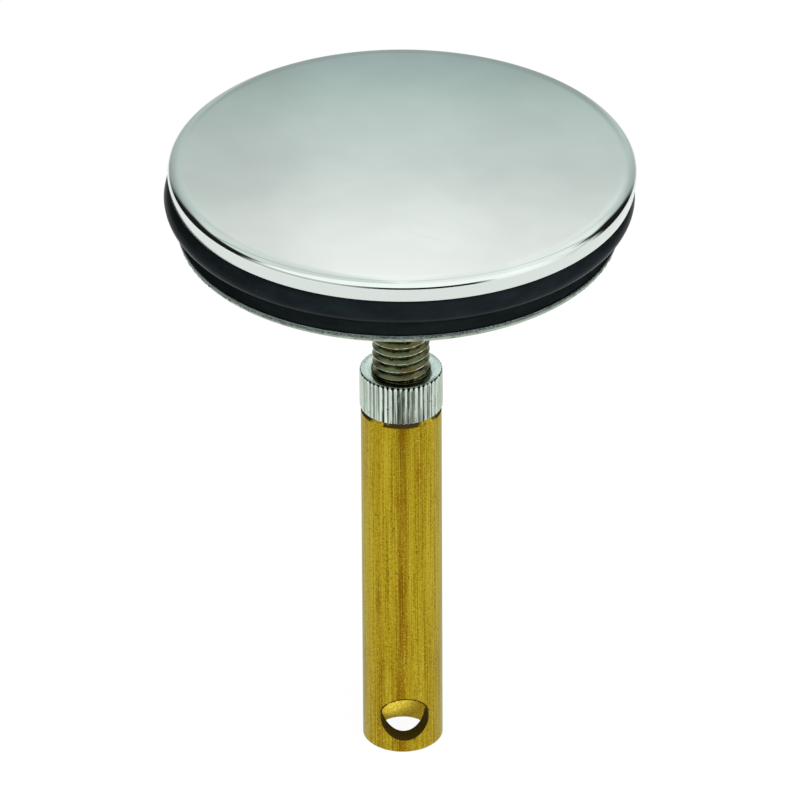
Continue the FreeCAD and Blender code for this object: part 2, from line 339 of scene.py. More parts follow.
class Graph:
    """Node canvas: adds and joins nodes of one tree."""

    def __init__(self, tree: bpy.types.NodeTree) -> None:
        """Work on a tree.

        Args:
            tree: Node tree of a material, world or group.
        """
        self.tree = tree

    def add(self, kind: str, inputs: dict | None = None, **settings: object) -> bpy.types.Node:
        """Add a node.

        Args:
            kind: Node type.
            inputs: Values or sockets for its inputs, by name or number.
            **settings: Properties of the node.

        Returns:
            The node.
        """
        node = self.tree.nodes.new(kind)
        for name, value in settings.items():
            setattr(node, name, value)
        for key, value in (inputs or {}).items():
            self.feed(node.inputs[key], value)
        return node

    def feed(self, target: Socket, value: object) -> None:
        """Join a socket to an input, or set the input's value.

        Args:
            target: Input socket.
            value: Output socket or plain value.
        """
        if isinstance(value, bpy.types.NodeSocket):
            self.tree.links.new(value, target)
        else:
            target.default_value = value

    def math(self, operation: str, first: object, second: object = 0.0) -> Socket:
        """Result of a sum on one or two values."""
        return self.add("ShaderNodeMath", {0: first, 1: second}, operation=operation).outputs[0]

    def times(self, first: object, second: object) -> Socket:
        """Product of two values."""
        return self.math("MULTIPLY", first, second)

    def plus(self, first: object, second: object) -> Socket:
        """Sum of two values."""
        return self.math("ADD", first, second)

    def minus(self, first: object, second: object) -> Socket:
        """First value less the second."""
        return self.math("SUBTRACT", first, second)

    def unsigned(self, value: object) -> Socket:
        """Value without its sign."""
        return self.math("ABSOLUTE", value)

    def ease(self, value: object, low: float, high: float, start: float = 0.0, end: float = 1.0) -> Socket:
        """Smooth step of a value.

        Args:
            value: Value or socket.
            low: Where the step begins.
            high: Where it ends.
            start: Result below the step.
            end: Result above it.

        Returns:
            The eased value.
        """
        numbers = {"Value": value, "From Min": low, "From Max": high, "To Min": start, "To Max": end}
        return self.add("ShaderNodeMapRange", numbers, interpolation_type="SMOOTHSTEP").outputs["Result"]

    def mix(self, factor: object, first: object, second: object) -> Socket:
        """Colour between two colours."""
        node = self.add("ShaderNodeMix", {0: factor, 6: first, 7: second}, data_type="RGBA")
        return node.outputs[2]

    def group(self, tree: bpy.types.NodeTree, **inputs: object) -> bpy.types.Node:
        """Place a node group with its own values.

        Args:
            tree: The group.
            **inputs: Values or sockets for its inputs, with _ for spaces.

        Returns:
            The group node.
        """
        node = self.add("ShaderNodeGroup", node_tree=tree)
        for name, value in inputs.items():
            self.feed(node.inputs[name.replace("_", " ")], value)
        return node


class Effects:
    """Surface effects that several finishes share, each a node group built once."""

    @staticmethod
    def start(name: str, inputs: dict[str, float], outputs: Sequence[str]) -> Graph | None:
        """Begin a group, unless it exists.

        Args:
            name: Name of the group.
            inputs: Input values and their defaults.
            outputs: Names of the output values.

        Returns:
            Canvas of the new group, or None.
        """
        if name in bpy.data.node_groups:
            return None
        tree = bpy.data.node_groups.new(name, "ShaderNodeTree")
        for key, value in inputs.items():
            socket = tree.interface.new_socket(key, in_out="INPUT", socket_type="NodeSocketFloat")
            socket.default_value = value
        for key in outputs:
            tree.interface.new_socket(key, in_out="OUTPUT", socket_type="NodeSocketFloat")
        return Graph(tree)

    @staticmethod
    def position(graph: Graph) -> Socket:
        """Place on the object.

        Args:
            graph: Canvas of the material or group.

        Returns:
            The place in mm.
        """
        coordinates = graph.add("ShaderNodeTexCoord").outputs["Object"]
        scale = {0: coordinates, 1: (1 / MM, 1 / MM, 1 / MM)}
        return graph.add("ShaderNodeVectorMath", scale, operation="MULTIPLY").outputs[0]

    @staticmethod
    def noise(graph: Graph, place: Socket, fineness: Sequence[object], shift: object,
              detail: object) -> Socket:
        """Noise with its own fineness along each axis.

        Args:
            graph: Canvas of the group.
            place: Place in mm.
            fineness: Patches per mm along X, Y and Z.
            shift: Picks another noise of the same kind.
            detail: Number of finer layers.

        Returns:
            The noise, from 0 to 1.
        """
        stretch = graph.add("ShaderNodeCombineXYZ", dict(enumerate(fineness)))
        spread = graph.add("ShaderNodeVectorMath", {0: place, 1: stretch.outputs[0]}, operation="MULTIPLY")
        return graph.add("ShaderNodeTexNoise", {
            "Vector": spread.outputs[0], "W": shift, "Scale": 1.0, "Detail": detail, "Roughness": 0.6,
        }, noise_dimensions="4D").outputs[0]

    @classmethod
    def round_place(cls) -> bpy.types.NodeTree:
        """Group that gives the distance from the axis and the height in mm, and the turn in radians.

        Returns:
            The group.
        """
        graph = cls.start("round_place", {}, ("Radius", "Turn", "Height"))
        if graph:
            parts = graph.add("ShaderNodeSeparateXYZ", {0: cls.position(graph)}).outputs
            squares = graph.plus(graph.times(parts[0], parts[0]), graph.times(parts[1], parts[1]))
            graph.add("NodeGroupOutput", {
                "Radius": graph.math("SQRT", squares),
                "Turn": graph.math("ARCTAN2", parts[1], parts[0]),
                "Height": parts[2],
            })
        return bpy.data.node_groups["round_place"]

    @classmethod
    def cloud(cls) -> bpy.types.NodeTree:
        """Group that gives a noise of a set fineness across and along the axis.

        Returns:
            The group.
        """
        inputs = {"Across": 1.0, "Along": 1.0, "Detail": 3.0, "Shift": 0.0}
        graph = cls.start("cloud", inputs, ("Value",))
        if graph:
            given = graph.add("NodeGroupInput").outputs
            fineness = (given["Across"], given["Across"], given["Along"])
            noise = cls.noise(graph, cls.position(graph), fineness, given["Shift"], given["Detail"])
            graph.add("NodeGroupOutput", {"Value": noise})
        return bpy.data.node_groups["cloud"]

    @classmethod
    def brushed(cls) -> bpy.types.NodeTree:
        """Group that gives a noise drawn out along a line in the XY plane.

        Returns:
            The group.
        """
        inputs = {"Angle": 0.0, "Across": 1.0, "Along": 0.1, "Shift": 0.0}
        graph = cls.start("brushed", inputs, ("Value",))
        if graph:
            given = graph.add("NodeGroupInput").outputs
            turning = {"Vector": cls.position(graph), "Angle": given["Angle"]}
            turned = graph.add("ShaderNodeVectorRotate", turning, rotation_type="Z_AXIS")
            fineness = (given["Along"], given["Across"], given["Across"])
            noise = cls.noise(graph, turned.outputs[0], fineness, given["Shift"], 3.0)
            graph.add("NodeGroupOutput", {"Value": noise})
        return bpy.data.node_groups["brushed"]

    @classmethod
    def specks(cls) -> bpy.types.NodeTree:
        """Group that gives a mask of scattered specks, from their number per mm and their share.

        Returns:
            The group.
        """
        inputs = {"Per mm": 2.0, "Share": 0.1, "Shift": 0.0}
        graph = cls.start("specks", inputs, ("Mask",))
        if graph:
            given = graph.add("NodeGroupInput").outputs
            noise = graph.add("ShaderNodeTexNoise", {
                "Vector": cls.position(graph), "W": given["Shift"], "Scale": given["Per mm"],
                "Detail": 2.0, "Roughness": 0.55,
            }, noise_dimensions="4D")
            edge = graph.minus(0.78, graph.times(given["Share"], 0.5))
            above = graph.minus(noise.outputs[0], edge)
            graph.add("NodeGroupOutput", {"Mask": graph.ease(above, 0.0, 0.05)})
        return bpy.data.node_groups["specks"]


@dataclass(frozen=True)
class Finish:
    """Finish of a surface.

    Attributes:
        name: Name of the material.
        colour: Main colour.
        metallic: 1 for bare or plated metal.
        roughness: Middle roughness.
        specular: Strength of a dull surface's sheen.
    """

    name: str
    colour: Colour
    metallic: float = 1.0
    roughness: float = 0.3
    specular: float = 0.5

    def material(self) -> bpy.types.Material:
        """Material of this finish, made once.

        Returns:
            The material, with its shader and its own pattern.
        """
        if self.name in bpy.data.materials:
            return bpy.data.materials[self.name]
        material = bpy.data.materials.new(self.name)
        material.use_nodes = True
        material.diffuse_color = self.colour
        graph = Graph(material.node_tree)
        shader = material.node_tree.nodes["Principled BSDF"]
        shader.inputs["Metallic"].default_value = self.metallic
        shader.inputs["Roughness"].default_value = self.roughness
        shader.inputs["Specular IOR Level"].default_value = self.specular
        shader.inputs["Base Color"].default_value = self.colour
        self.pattern(graph, shader)
        return material

    def pattern(self, graph: Graph, shader: bpy.types.Node) -> None:
        """Add the pattern of the finish.

        Args:
            graph: Canvas of the material.
            shader: Its shader.
        """
        raise NotImplementedError(self.name)

    def vary_roughness(self, graph: Graph, noise: Socket, spread: float) -> Socket:
        """Roughness that a noise moves up and down by a spread."""
        return graph.plus(self.roughness - spread, graph.times(noise, 2 * spread))

    @staticmethod
    def relief(graph: Graph, shader: bpy.types.Node, height: Socket, depth_mm: float,
               strength: float) -> None:
        """Give a surface fine relief.

        Args:
            graph: Canvas of the material.
            shader: Its shader.
            height: Height pattern.
            depth_mm: Height of the pattern's full range.
            strength: How strongly it shows, 0 to 1.
        """
        settings = {"Height": height, "Distance": depth_mm * MM, "Strength": strength}
        bump = graph.add("ShaderNodeBump", settings)
        graph.feed(shader.inputs["Normal"], bump.outputs[0])


@dataclass(frozen=True)
class MirrorPlating(Finish):
    """Polished plating with faint polishing marks on the face and a satin rim.

    Attributes:
        rim_from: Distance from the axis at which the satin rim begins, in mm.
        rim_top: Height at which the satin rim ends, in mm.
        rim_roughness: Roughness of the rim.
        rim_colour: Colour of the rim.
    """

    rim_from: float = 29.0
    rim_top: float = 89.8
    rim_roughness: float = 0.14
    rim_colour: Colour = tint(214, 223, 217)

    def pattern(self, graph: Graph, shader: bpy.types.Node) -> None:
        """Mark the face and dull the rim.

        Args:
            graph: Canvas of the material.
            shader: Its shader.
        """
        place = graph.group(Effects.round_place()).outputs
        haze = graph.group(Effects.cloud(), Across=0.1, Along=0.1, Detail=2.0).outputs[0]
        polish = graph.group(Effects.cloud(), Across=3.0, Along=3.0, Detail=2.0, Shift=4.0).outputs[0]
        marks = graph.group(Effects.brushed(), Angle=math.radians(35), Across=2.4, Along=0.12).outputs[0]
        marks = graph.times(graph.ease(marks, 0.5, 0.75), graph.ease(haze, 0.4, 0.6))
        rim = graph.times(graph.ease(place["Radius"], self.rim_from, self.rim_from + 0.15),
                          graph.ease(place["Height"], self.rim_top, self.rim_top - 0.15))
        face = graph.plus(self.roughness, graph.times(marks, 0.06))
        satin = graph.plus(self.rim_roughness - 0.05, graph.times(polish, 0.1))
        spread = graph.minus(satin, face)
        graph.feed(shader.inputs["Roughness"], graph.plus(face, graph.times(spread, rim)))
        darker = scaled(self.colour, 0.95)
        hazed = graph.mix(graph.ease(haze, 0.35, 0.65), darker, self.colour)
        marked = graph.mix(graph.times(marks, 0.5), hazed, darker)
        streaked = graph.mix(graph.ease(polish, 0.35, 0.65, 0.75, 1.0), marked, self.rim_colour)
        graph.feed(shader.inputs["Base Color"], graph.mix(rim, marked, streaked))
        lines = graph.group(Effects.cloud(), Across=0.3, Along=9.0, Detail=3.0, Shift=2.0).outputs[0]
        self.relief(graph, shader, graph.times(lines, rim), 0.004, 0.5)


@dataclass(frozen=True, kw_only=True)
class KnurledPlating(Finish):
    """Plating over a knurl: painted highlights on the tips, uneven painted shade in the grooves, a clean end
    face.

    Attributes:
        teeth: Number of teeth.
        end_height: Height of the upper end face, in mm.
        end_radius: Outside of that face, in mm.
        groove: Colour of the painted shade in the grooves.
        notch: Colour of the painted shade in the grooves' ends below the end face.
        front_reflection: Colour of the painted reflection and shadow of the stud on the end face's front.
        glint: Colour of painted highlights: bright lines along the teeth and on their tips.
        line_shade: Colour of painted shade: dark lines along the teeth.
        turned: Colour of the end face, as the lathe left it.
        pit: Colour of small pits.
        front: Turn of the front, in radians.
    """

    teeth: int
    end_height: float
    end_radius: float
    groove: Colour = tint(74, 80, 68)
    notch: Colour = tint(14, 17, 14)
    front_reflection: Colour = tint(52, 62, 54)
    glint: Colour = tint(232, 242, 234)
    line_shade: Colour = tint(112, 116, 102)
    turned: Colour = tint(220, 236, 228)
    pit: Colour = tint(58, 60, 50)
    front: float = math.radians(-90)

    def pattern(self, graph: Graph, shader: bpy.types.Node) -> None:
        """Darken the grooves, draw lines along the teeth and polish the end face.

        Args:
            graph: Canvas of the material.
            shader: Its shader.
        """
        place = graph.group(Effects.round_place()).outputs
        off_front = graph.unsigned(graph.minus(place["Turn"], self.front))
        end = graph.times(graph.ease(place["Height"], self.end_height - 0.08, self.end_height - 0.03),
                          graph.ease(place["Radius"], self.end_radius + 0.04, self.end_radius - 0.02))
        side = graph.minus(1.0, end)
        faced = self.face_end(graph, place["Radius"], off_front, end)
        lined = self.draw_lines(graph, faced, off_front, side)
        plated = self.darken_grooves(graph, lined, place, side)
        pits = graph.group(Effects.specks(), Per_mm=3.4, Share=0.26, Shift=3.0).outputs[0]
        graph.feed(shader.inputs["Base Color"], graph.mix(pits, plated, self.pit))
        grain = graph.group(Effects.cloud(), Across=5.0, Along=2.0, Detail=3.0, Shift=7.0).outputs[0]
        rough = self.vary_roughness(graph, grain, 0.1)
        graph.feed(shader.inputs["Roughness"], graph.times(rough, graph.minus(1.0, graph.times(end, 0.45))))
        self.relief(graph, shader, grain, 0.012, 0.4)

    def face_end(self, graph: Graph, radius: Socket, off_front: Socket, end: Socket) -> Socket:
        """Brighten the end face and paint a dark reflection and shadow of the stud on its front.

        Args:
            graph: Canvas of the material.
            radius: Distance from the axis, in mm.
            off_front: Turn away from the front, in radians.
            end: Mask of the end face.

        Returns:
            The plating's colour.
        """
        # painted reflection and shadow of the stud: a dark crescent on the end face's front
        spread = graph.times(graph.math("MAXIMUM", graph.minus(off_front, 0.6), 0.0), 1.7)
        front_reflection = graph.ease(graph.plus(radius, spread), 5.55, 5.3, 0.0, 0.9)
        return graph.mix(graph.times(front_reflection, end), graph.mix(end, self.colour, self.turned), self.front_reflection)

    def draw_lines(self, graph: Graph, colour: Socket, off_front: Socket, side: Socket) -> Socket:
        """Paint dark lines of shade and bright lines of highlight along the teeth, most of them at the front.

        Args:
            graph: Canvas of the material.
            colour: Colour so far.
            off_front: Turn away from the front, in radians.
            side: Mask of all but the end face.

        Returns:
            The colour with its lines.
        """
        lines = graph.group(Effects.cloud(), Across=3.6, Along=0.08, Detail=2.0, Shift=1.0).outputs[0]
        # painted shade: dark lines along the teeth, strongest at the front
        line_shade = graph.times(graph.ease(lines, 0.47, 0.6),
                            graph.ease(off_front, math.radians(50), math.radians(10), 0.35, 0.9))
        lined = graph.mix(graph.times(line_shade, side), colour, self.line_shade)
        # painted shade and painted highlights: thin dark and bright hair lines near the front
        hairs = graph.group(Effects.cloud(), Across=2.4, Along=0.06, Detail=2.0, Shift=4.0).outputs[0]
        near = graph.times(side, graph.ease(off_front, math.radians(55), math.radians(15), 0.25, 1.0))
        lined = graph.mix(graph.times(near, graph.ease(hairs, 0.54, 0.6, 0.0, 0.75)), lined, self.groove)
        return graph.mix(graph.times(near, graph.ease(hairs, 0.46, 0.4, 0.0, 0.9)), lined, self.glint)

    def darken_grooves(self, graph: Graph, colour: Socket, place: bpy.types.bpy_prop_collection,
                       side: Socket) -> Socket:
        """Paint uneven shade into the grooves, with painted highlights on the tips and painted shade in the
        notches near the end face.

        Args:
            graph: Canvas of the material.
            colour: Colour so far.
            place: Outputs of the round_place group.
            side: Mask of all but the end face.

        Returns:
            The colour with its grooves.
        """
        phase = graph.plus(graph.times(place["Turn"], self.teeth / FULL_TURN), 0.5)
        across = graph.unsigned(graph.minus(graph.math("FRACT", phase), 0.5))
        number = graph.add("ShaderNodeTexWhiteNoise", {"W": graph.math("FLOOR", phase)},
                           noise_dimensions="1D").outputs[0]
        groove_wobble = graph.group(Effects.cloud(), Across=2.2, Along=0.5, Detail=3.0).outputs[0]
        reach = graph.plus(across, graph.ease(groove_wobble, 0.3, 0.7, 0.08, -0.08))
        depth = graph.plus(graph.times(number, 0.6), 0.4)
        # painted shade in the grooves, deeper in some grooves than in others
        groove = graph.times(graph.ease(reach, 0.06, 0.26, 1.0, 0.0), depth)
        plated = graph.mix(graph.times(groove, side), colour, self.groove)
        near_end = graph.ease(place["Height"], self.end_height - 0.8, self.end_height - 0.1)
        # painted highlight on the teeth's tips near the end face
        tip = graph.times(graph.times(side, near_end), graph.ease(reach, 0.28, 0.36, 0.0, 0.8))
        plated = graph.mix(tip, plated, self.glint)
        # painted shade in the notches where the grooves run into the end face
        narrowed = graph.minus(reach, graph.times(near_end, 0.3))
        notch = graph.times(side, graph.ease(narrowed, -0.06, 0.02, 1.0, 0.0))
        return graph.mix(notch, plated, self.notch)


@dataclass(frozen=True, kw_only=True)
class RolledNickel(Finish):
    """Rolled thread with thin nickel: painted shade at the roots, olive and tan flanks with painted glints,
    painted highlights on the crests.

    Attributes:
        root: Distance of the thread's root from the axis, in mm.
        crest: Distance of the crests from the axis, in mm.
        root_shade: Colour of the painted shade at the root.
        tan: Colour of warm patches on the flanks.
        fleck: Colour of small painted glints on the flanks.
        glint: Colour of the painted highlight on the crests.
    """

    root: float
    crest: float
    root_shade: Colour = tint(54, 54, 34)
    tan: Colour = tint(160, 132, 84)
    fleck: Colour = tint(178, 174, 122)
    glint: Colour = tint(212, 214, 198)

    def pattern(self, graph: Graph, shader: bpy.types.Node) -> None:
        """Paint shade at the root, glints on the flanks and a highlight on the crest.

        Args:
            graph: Canvas of the material.
            shader: Its shader.
        """
        place = graph.group(Effects.round_place()).outputs
        blotch_noise = graph.group(Effects.cloud(), Across=1.1, Along=1.1, Detail=4.0).outputs[0]
        # painted shade: the flanks darken towards the thread's root, with an uneven edge
        shown = graph.plus(place["Radius"], graph.ease(blotch_noise, 0.3, 0.7, -0.14, 0.14))
        flank = graph.mix(graph.ease(shown, self.root + 0.05, self.crest - 0.35), self.root_shade, self.colour)
        warm = graph.group(Effects.cloud(), Across=0.5, Along=0.5, Detail=2.0, Shift=5.0).outputs[0]
        warmth = graph.times(graph.ease(warm, 0.4, 0.58, 0.0, 0.8),
                             graph.ease(shown, self.root + 0.2, self.crest - 0.2))
        tanned = graph.mix(warmth, flank, self.tan)
        # painted glints: small bright flecks on the flanks
        flecks = graph.group(Effects.specks(), Per_mm=2.6, Share=0.3, Shift=4.0).outputs[0]
        flecked = graph.mix(graph.times(flecks, 0.7), tanned, self.fleck)
        # painted highlight along the crests, broken up by noise
        broken = graph.group(Effects.cloud(), Across=1.6, Along=0.8, Detail=3.0, Shift=7.0).outputs[0]
        edge = graph.plus(place["Radius"], graph.ease(broken, 0.4, 0.6, -0.1, 0.0))
        crest = graph.ease(edge, self.crest - 0.06, self.crest - 0.01)
        graph.feed(shader.inputs["Base Color"], graph.mix(crest, flecked, self.glint))
        grain = graph.group(Effects.cloud(), Across=6.0, Along=6.0, Detail=3.0, Shift=2.0).outputs[0]
        graph.feed(shader.inputs["Roughness"], self.vary_roughness(graph, grain, 0.1))
        self.relief(graph, shader, grain, 0.02, 0.5)


@dataclass(frozen=True, kw_only=True)
class ShearedSteel(Finish):
    """Sheet metal with a torn, speckled edge below a bright upper line.

    Attributes:
        bottom: Height of the lower side, in mm.
        thickness: Thickness of the sheet, in mm.
        edge_from: Distance from the axis at which the sheared edge begins, in mm.
        torn: Colour of the torn specks.
        burr: Colour of the bright lower burr.
    """

    bottom: float
    thickness: float
    edge_from: float = 29.0
    torn: Colour = tint(54, 60, 57)
    burr: Colour = tint(180, 190, 166)

    def pattern(self, graph: Graph, shader: bpy.types.Node) -> None:
        """Speckle the edge and stain the flat sides.

        Args:
            graph: Canvas of the material.
            shader: Its shader.
        """
        place = graph.group(Effects.round_place()).outputs
        edge = graph.ease(place["Radius"], self.edge_from, self.edge_from + 0.1)
        share = graph.math("DIVIDE", graph.minus(place["Height"], self.bottom), self.thickness)
        specks = graph.group(Effects.cloud(), Across=6.0, Along=6.0, Detail=2.0, Shift=1.0).outputs[0]
        upper = graph.times(edge, graph.times(graph.ease(share, 0.36, 0.52), graph.ease(share, 0.95, 0.85)))
        dark = graph.times(graph.ease(specks, 0.45, 0.55), upper)
        tone = graph.group(Effects.cloud(), Across=0.5, Along=3.0, Detail=3.0).outputs[0]
        duller = scaled(self.colour, 0.45)
        sheet = graph.mix(graph.ease(tone, 0.35, 0.65), duller, self.colour)
        shaded = graph.mix(graph.times(edge, graph.ease(share, 0.15, 0.6, 0.0, 0.65)), sheet, duller)
        low = graph.times(edge, graph.ease(share, 0.46, 0.24, 0.0, 0.6))
        burred = graph.mix(low, shaded, self.burr)
        graph.feed(shader.inputs["Base Color"], graph.mix(dark, burred, self.torn))
        graph.feed(shader.inputs["Roughness"], self.vary_roughness(graph, tone, 0.1))
        grain = graph.group(Effects.cloud(), Across=5.0, Along=5.0, Detail=3.0, Shift=6.0).outputs[0]
        self.relief(graph, shader, grain, 0.015, 0.5)


@dataclass(frozen=True)
class PlainSteel(Finish):
    """Plain plated steel with a little staining, for the hidden nut."""

    def pattern(self, graph: Graph, shader: bpy.types.Node) -> None:
        """Stain and roughen the plating.

        Args:
            graph: Canvas of the material.
            shader: Its shader.
        """
        blotch_noise = graph.group(Effects.cloud(), Across=0.5, Along=0.5, Detail=4.0).outputs[0]
        duller = scaled(self.colour, 0.6)
        graph.feed(shader.inputs["Base Color"], graph.mix(graph.ease(blotch_noise, 0.35, 0.65), duller, self.colour))
        graph.feed(shader.inputs["Roughness"], self.vary_roughness(graph, blotch_noise, 0.08))
        grain = graph.group(Effects.cloud(), Across=4.0, Along=4.0, Detail=3.0, Shift=2.0).outputs[0]
        self.relief(graph, shader, grain, 0.01, 0.4)


@dataclass(frozen=True)
class BlackRubber(Finish):
    """Black rubber or plastic with soft sheen and a few specks of dust.

    Attributes:
        dust: Share of the surface under dust.
        dust_colour: Colour of the dust.
        sheen: Colour of the sheen.
    """

    dust: float = 0.04
    dust_colour: Colour = tint(88, 96, 94)
    sheen: Colour = tint(205, 245, 255)

    def pattern(self, graph: Graph, shader: bpy.types.Node) -> None:
        """Vary the sheen and add dust.

        Args:
            graph: Canvas of the material.
            shader: Its shader.
        """
        shader.inputs["Specular Tint"].default_value = self.sheen
        bloom = graph.group(Effects.cloud(), Across=0.25, Along=0.6, Detail=3.0).outputs[0]
        paler = scaled(self.colour, 1.5)
        skin = graph.mix(graph.ease(bloom, 0.35, 0.7), self.colour, paler)
        dust = graph.group(Effects.specks(), Per_mm=1.6, Share=self.dust, Shift=9.0).outputs[0]
        graph.feed(shader.inputs["Base Color"], graph.mix(dust, skin, self.dust_colour))
        graph.feed(shader.inputs["Roughness"], self.vary_roughness(graph, bloom, 0.06))
        grain = graph.group(Effects.cloud(), Across=6.0, Along=6.0, Detail=2.0, Shift=3.0).outputs[0]
        self.relief(graph, shader, grain, 0.006, 0.3)


@dataclass(frozen=True, kw_only=True)
class DrawnBrass(Finish):
    """Drawn brass tube with lengthwise lines, tarnish, pits, dark cut edges, painted shade and reflection,
    and painted light in its bore.

    Attributes:
        radius: Outside of the tube, in mm.
        top: Height of the tube's upper end, in mm.
        hole_height: Height of the lever hole's axis, in mm.
        hole_radius: Radius of the lever hole, in mm.
        inside: Distance from the axis within which the bore's surface lies, in mm.
        front: Turn of the front, where the painted dark reflection runs down, in radians.
        tarnish_and_reflection: Colour of the tarnish and of the painted dark reflection down the front.
        shade: Colour of fine dark lines.
        fleck: Colour of fine bright lines.
        burnt_and_shade: Colour of pits and cut edges, and of the painted shade under the nut and on the lever
            hole's wall.
        bore: Colour of the drilled bore, lighter than the brass as painted light falling in through the lever
            hole.
        sheen: Colour of the sheen at a glance.
        band: Height of the band under the nut that gets painted shade and is dulled, in mm.
    """

    radius: float
    top: float
    hole_height: float
    hole_radius: float
    inside: float = 4.6
    front: float = math.radians(-91)
    tarnish_and_reflection: Colour = tint(138, 98, 2)
    shade: Colour = tint(112, 90, 18)
    fleck: Colour = tint(204, 182, 66)
    burnt_and_shade: Colour = tint(58, 44, 12)
    bore: Colour = tint(250, 228, 84)
    sheen: Colour = tint(240, 250, 235)
    band: float = 0.52

    def pattern(self, graph: Graph, shader: bpy.types.Node) -> None:
        """Draw lines, tarnish, pits, cut edges, painted shade and reflection, and the bore with painted
        light.

        Args:
            graph: Canvas of the material.
            shader: Its shader.
        """
        shader.inputs["Specular Tint"].default_value = self.sheen
        place = graph.group(Effects.round_place()).outputs
        grain = graph.group(Effects.cloud(), Across=5.5, Along=4.0, Detail=2.0, Shift=8.0).outputs[0]
        lines = graph.group(Effects.cloud(), Across=6.0, Along=0.05, Detail=2.0).outputs[0]
        fine = graph.plus(graph.times(lines, 0.5), graph.times(grain, 0.5))
        # tarnish, with a painted dark reflection down the front
        drawn = graph.mix(self.stains_and_reflection(graph, place), self.colour, self.tarnish_and_reflection)
        shaded = graph.mix(graph.ease(fine, 0.5, 0.38, 0.0, 0.85), drawn, self.shade)
        flecked = graph.mix(graph.ease(fine, 0.51, 0.62, 0.0, 0.8), shaded, self.fleck)
        pits = graph.group(Effects.specks(), Per_mm=2.6, Share=0.26, Shift=5.0).outputs[0]
        pitted = graph.mix(graph.times(pits, 0.8), flecked, self.burnt_and_shade)
        in_bore = graph.ease(place["Radius"], self.inside + 0.1, self.inside)
        tool = graph.group(Effects.brushed(), Angle=0.0, Across=4.0, Along=2.0, Shift=3.0).outputs[0]
        # painted light: the bore is lighter than the brass, as if lit through the lever hole
        drilled = graph.mix(graph.ease(tool, 0.35, 0.65, 0.0, 0.25), self.bore, self.colour)
        drilled = graph.mix(graph.ease(grain, 0.46, 0.6, 0.0, 0.4), drilled, self.shade)
        band = graph.ease(place["Height"], self.top - self.band, self.top - self.band + 0.08)
        bored = graph.mix(in_bore, pitted, drilled)
        # painted shade on the lever hole's wall and under the nut, in the same dark colour as the pits, lower
        # edge and burr
        wall = self.hole_wall(graph)
        dark = graph.math("MAXIMUM", wall, self.edges_and_shade(graph, place))
        graph.feed(shader.inputs["Base Color"], graph.mix(dark, bored, self.burnt_and_shade))
        dull = graph.math("MAXIMUM", graph.math("MAXIMUM", in_bore, band), wall)
        graph.feed(shader.inputs["Metallic"], graph.ease(dull, 0.0, 1.0, 1.0, 0.1))
        rough = self.vary_roughness(graph, grain, 0.08)
        graph.feed(shader.inputs["Roughness"], graph.plus(rough, graph.times(dull, 0.25)))
        self.relief(graph, shader, fine, 0.02, 0.35)

    def stains_and_reflection(self, graph: Graph, place: bpy.types.bpy_prop_collection) -> Socket:
        """Mask of the tarnish, soft bands along the tube, of a darkening towards the bottom and of a painted
        dark reflection down its front.

        Args:
            graph: Canvas of the material.
            place: Outputs of the round_place group.

        Returns:
            The mask.
        """
        bands = graph.group(Effects.cloud(), Across=0.75, Along=0.02, Detail=2.0, Shift=2.0).outputs[0]
        patches = graph.group(Effects.cloud(), Across=0.4, Along=0.12, Detail=4.0, Shift=6.0).outputs[0]
        # painted dark reflection: a streak down the front that drifts a little with height
        drift = graph.ease(place["Height"], 0.0, self.top, 0.1, -0.03)
        turned = graph.plus(place["Turn"], graph.minus(drift, self.front))
        reflection_streak = graph.ease(graph.unsigned(turned), math.radians(13), math.radians(1), 0.0, 0.8)
        reflection_streak = graph.times(reflection_streak, graph.ease(patches, 0.25, 0.55, 0.35, 1.0))
        soft = graph.plus(graph.ease(bands, 0.45, 0.7, 0.0, 0.5), graph.ease(patches, 0.48, 0.75, 0.0, 0.5))
        # darker towards the bottom
        soft = graph.plus(soft, graph.ease(place["Height"], 34.0, 6.0, 0.0, 0.2))
        return graph.math("MINIMUM", graph.plus(soft, reflection_streak), 1.0)

    def edges_and_shade(self, graph: Graph, place: bpy.types.bpy_prop_collection) -> Socket:
        """Mask of painted shade on the chamfer under the nut, of a broken dark line along the lower edge and
        of the burr over the lever hole.

        Args:
            graph: Canvas of the material.
            place: Outputs of the round_place group.

        Returns:
            The mask.
        """
        rough = graph.group(Effects.cloud(), Across=1.1, Along=2.0, Detail=3.0, Shift=6.0).outputs[0]
        off_front = graph.minus(place["Turn"], self.front)
        off_front = graph.plus(off_front, graph.ease(rough, 0.3, 0.7, -0.12, 0.12))
        # painted shade under the nut: dark at the front and further round, with a lighter gap between
        middle = graph.ease(graph.unsigned(off_front), math.radians(36), math.radians(22))
        ends = graph.ease(graph.unsigned(off_front), math.radians(42), math.radians(58))
        band = graph.ease(place["Height"], self.top - self.band, self.top - self.band + 0.08)
        under_nut = graph.times(band, graph.math("MAXIMUM", middle, ends))
        # a broken dark line along the lower edge
        foot = graph.times(graph.ease(place["Height"], 0.3, 0.1), graph.ease(rough, 0.48, 0.58))
        away = self.from_hole_axis(graph)
        ring = graph.times(graph.ease(away, self.hole_radius + 0.24, self.hole_radius + 0.16),
                           graph.ease(place["Radius"], self.radius - 0.15, self.radius - 0.08))
        burr = graph.times(ring, graph.times(graph.ease(rough, 0.38, 0.46),
                                             graph.ease(place["Height"], 5.6, 6.4)))
        burr = graph.times(burr, graph.ease(graph.unsigned(off_front), 1.4, 1.2))
        return graph.math("MAXIMUM", under_nut, graph.math("MAXIMUM", foot, burr))

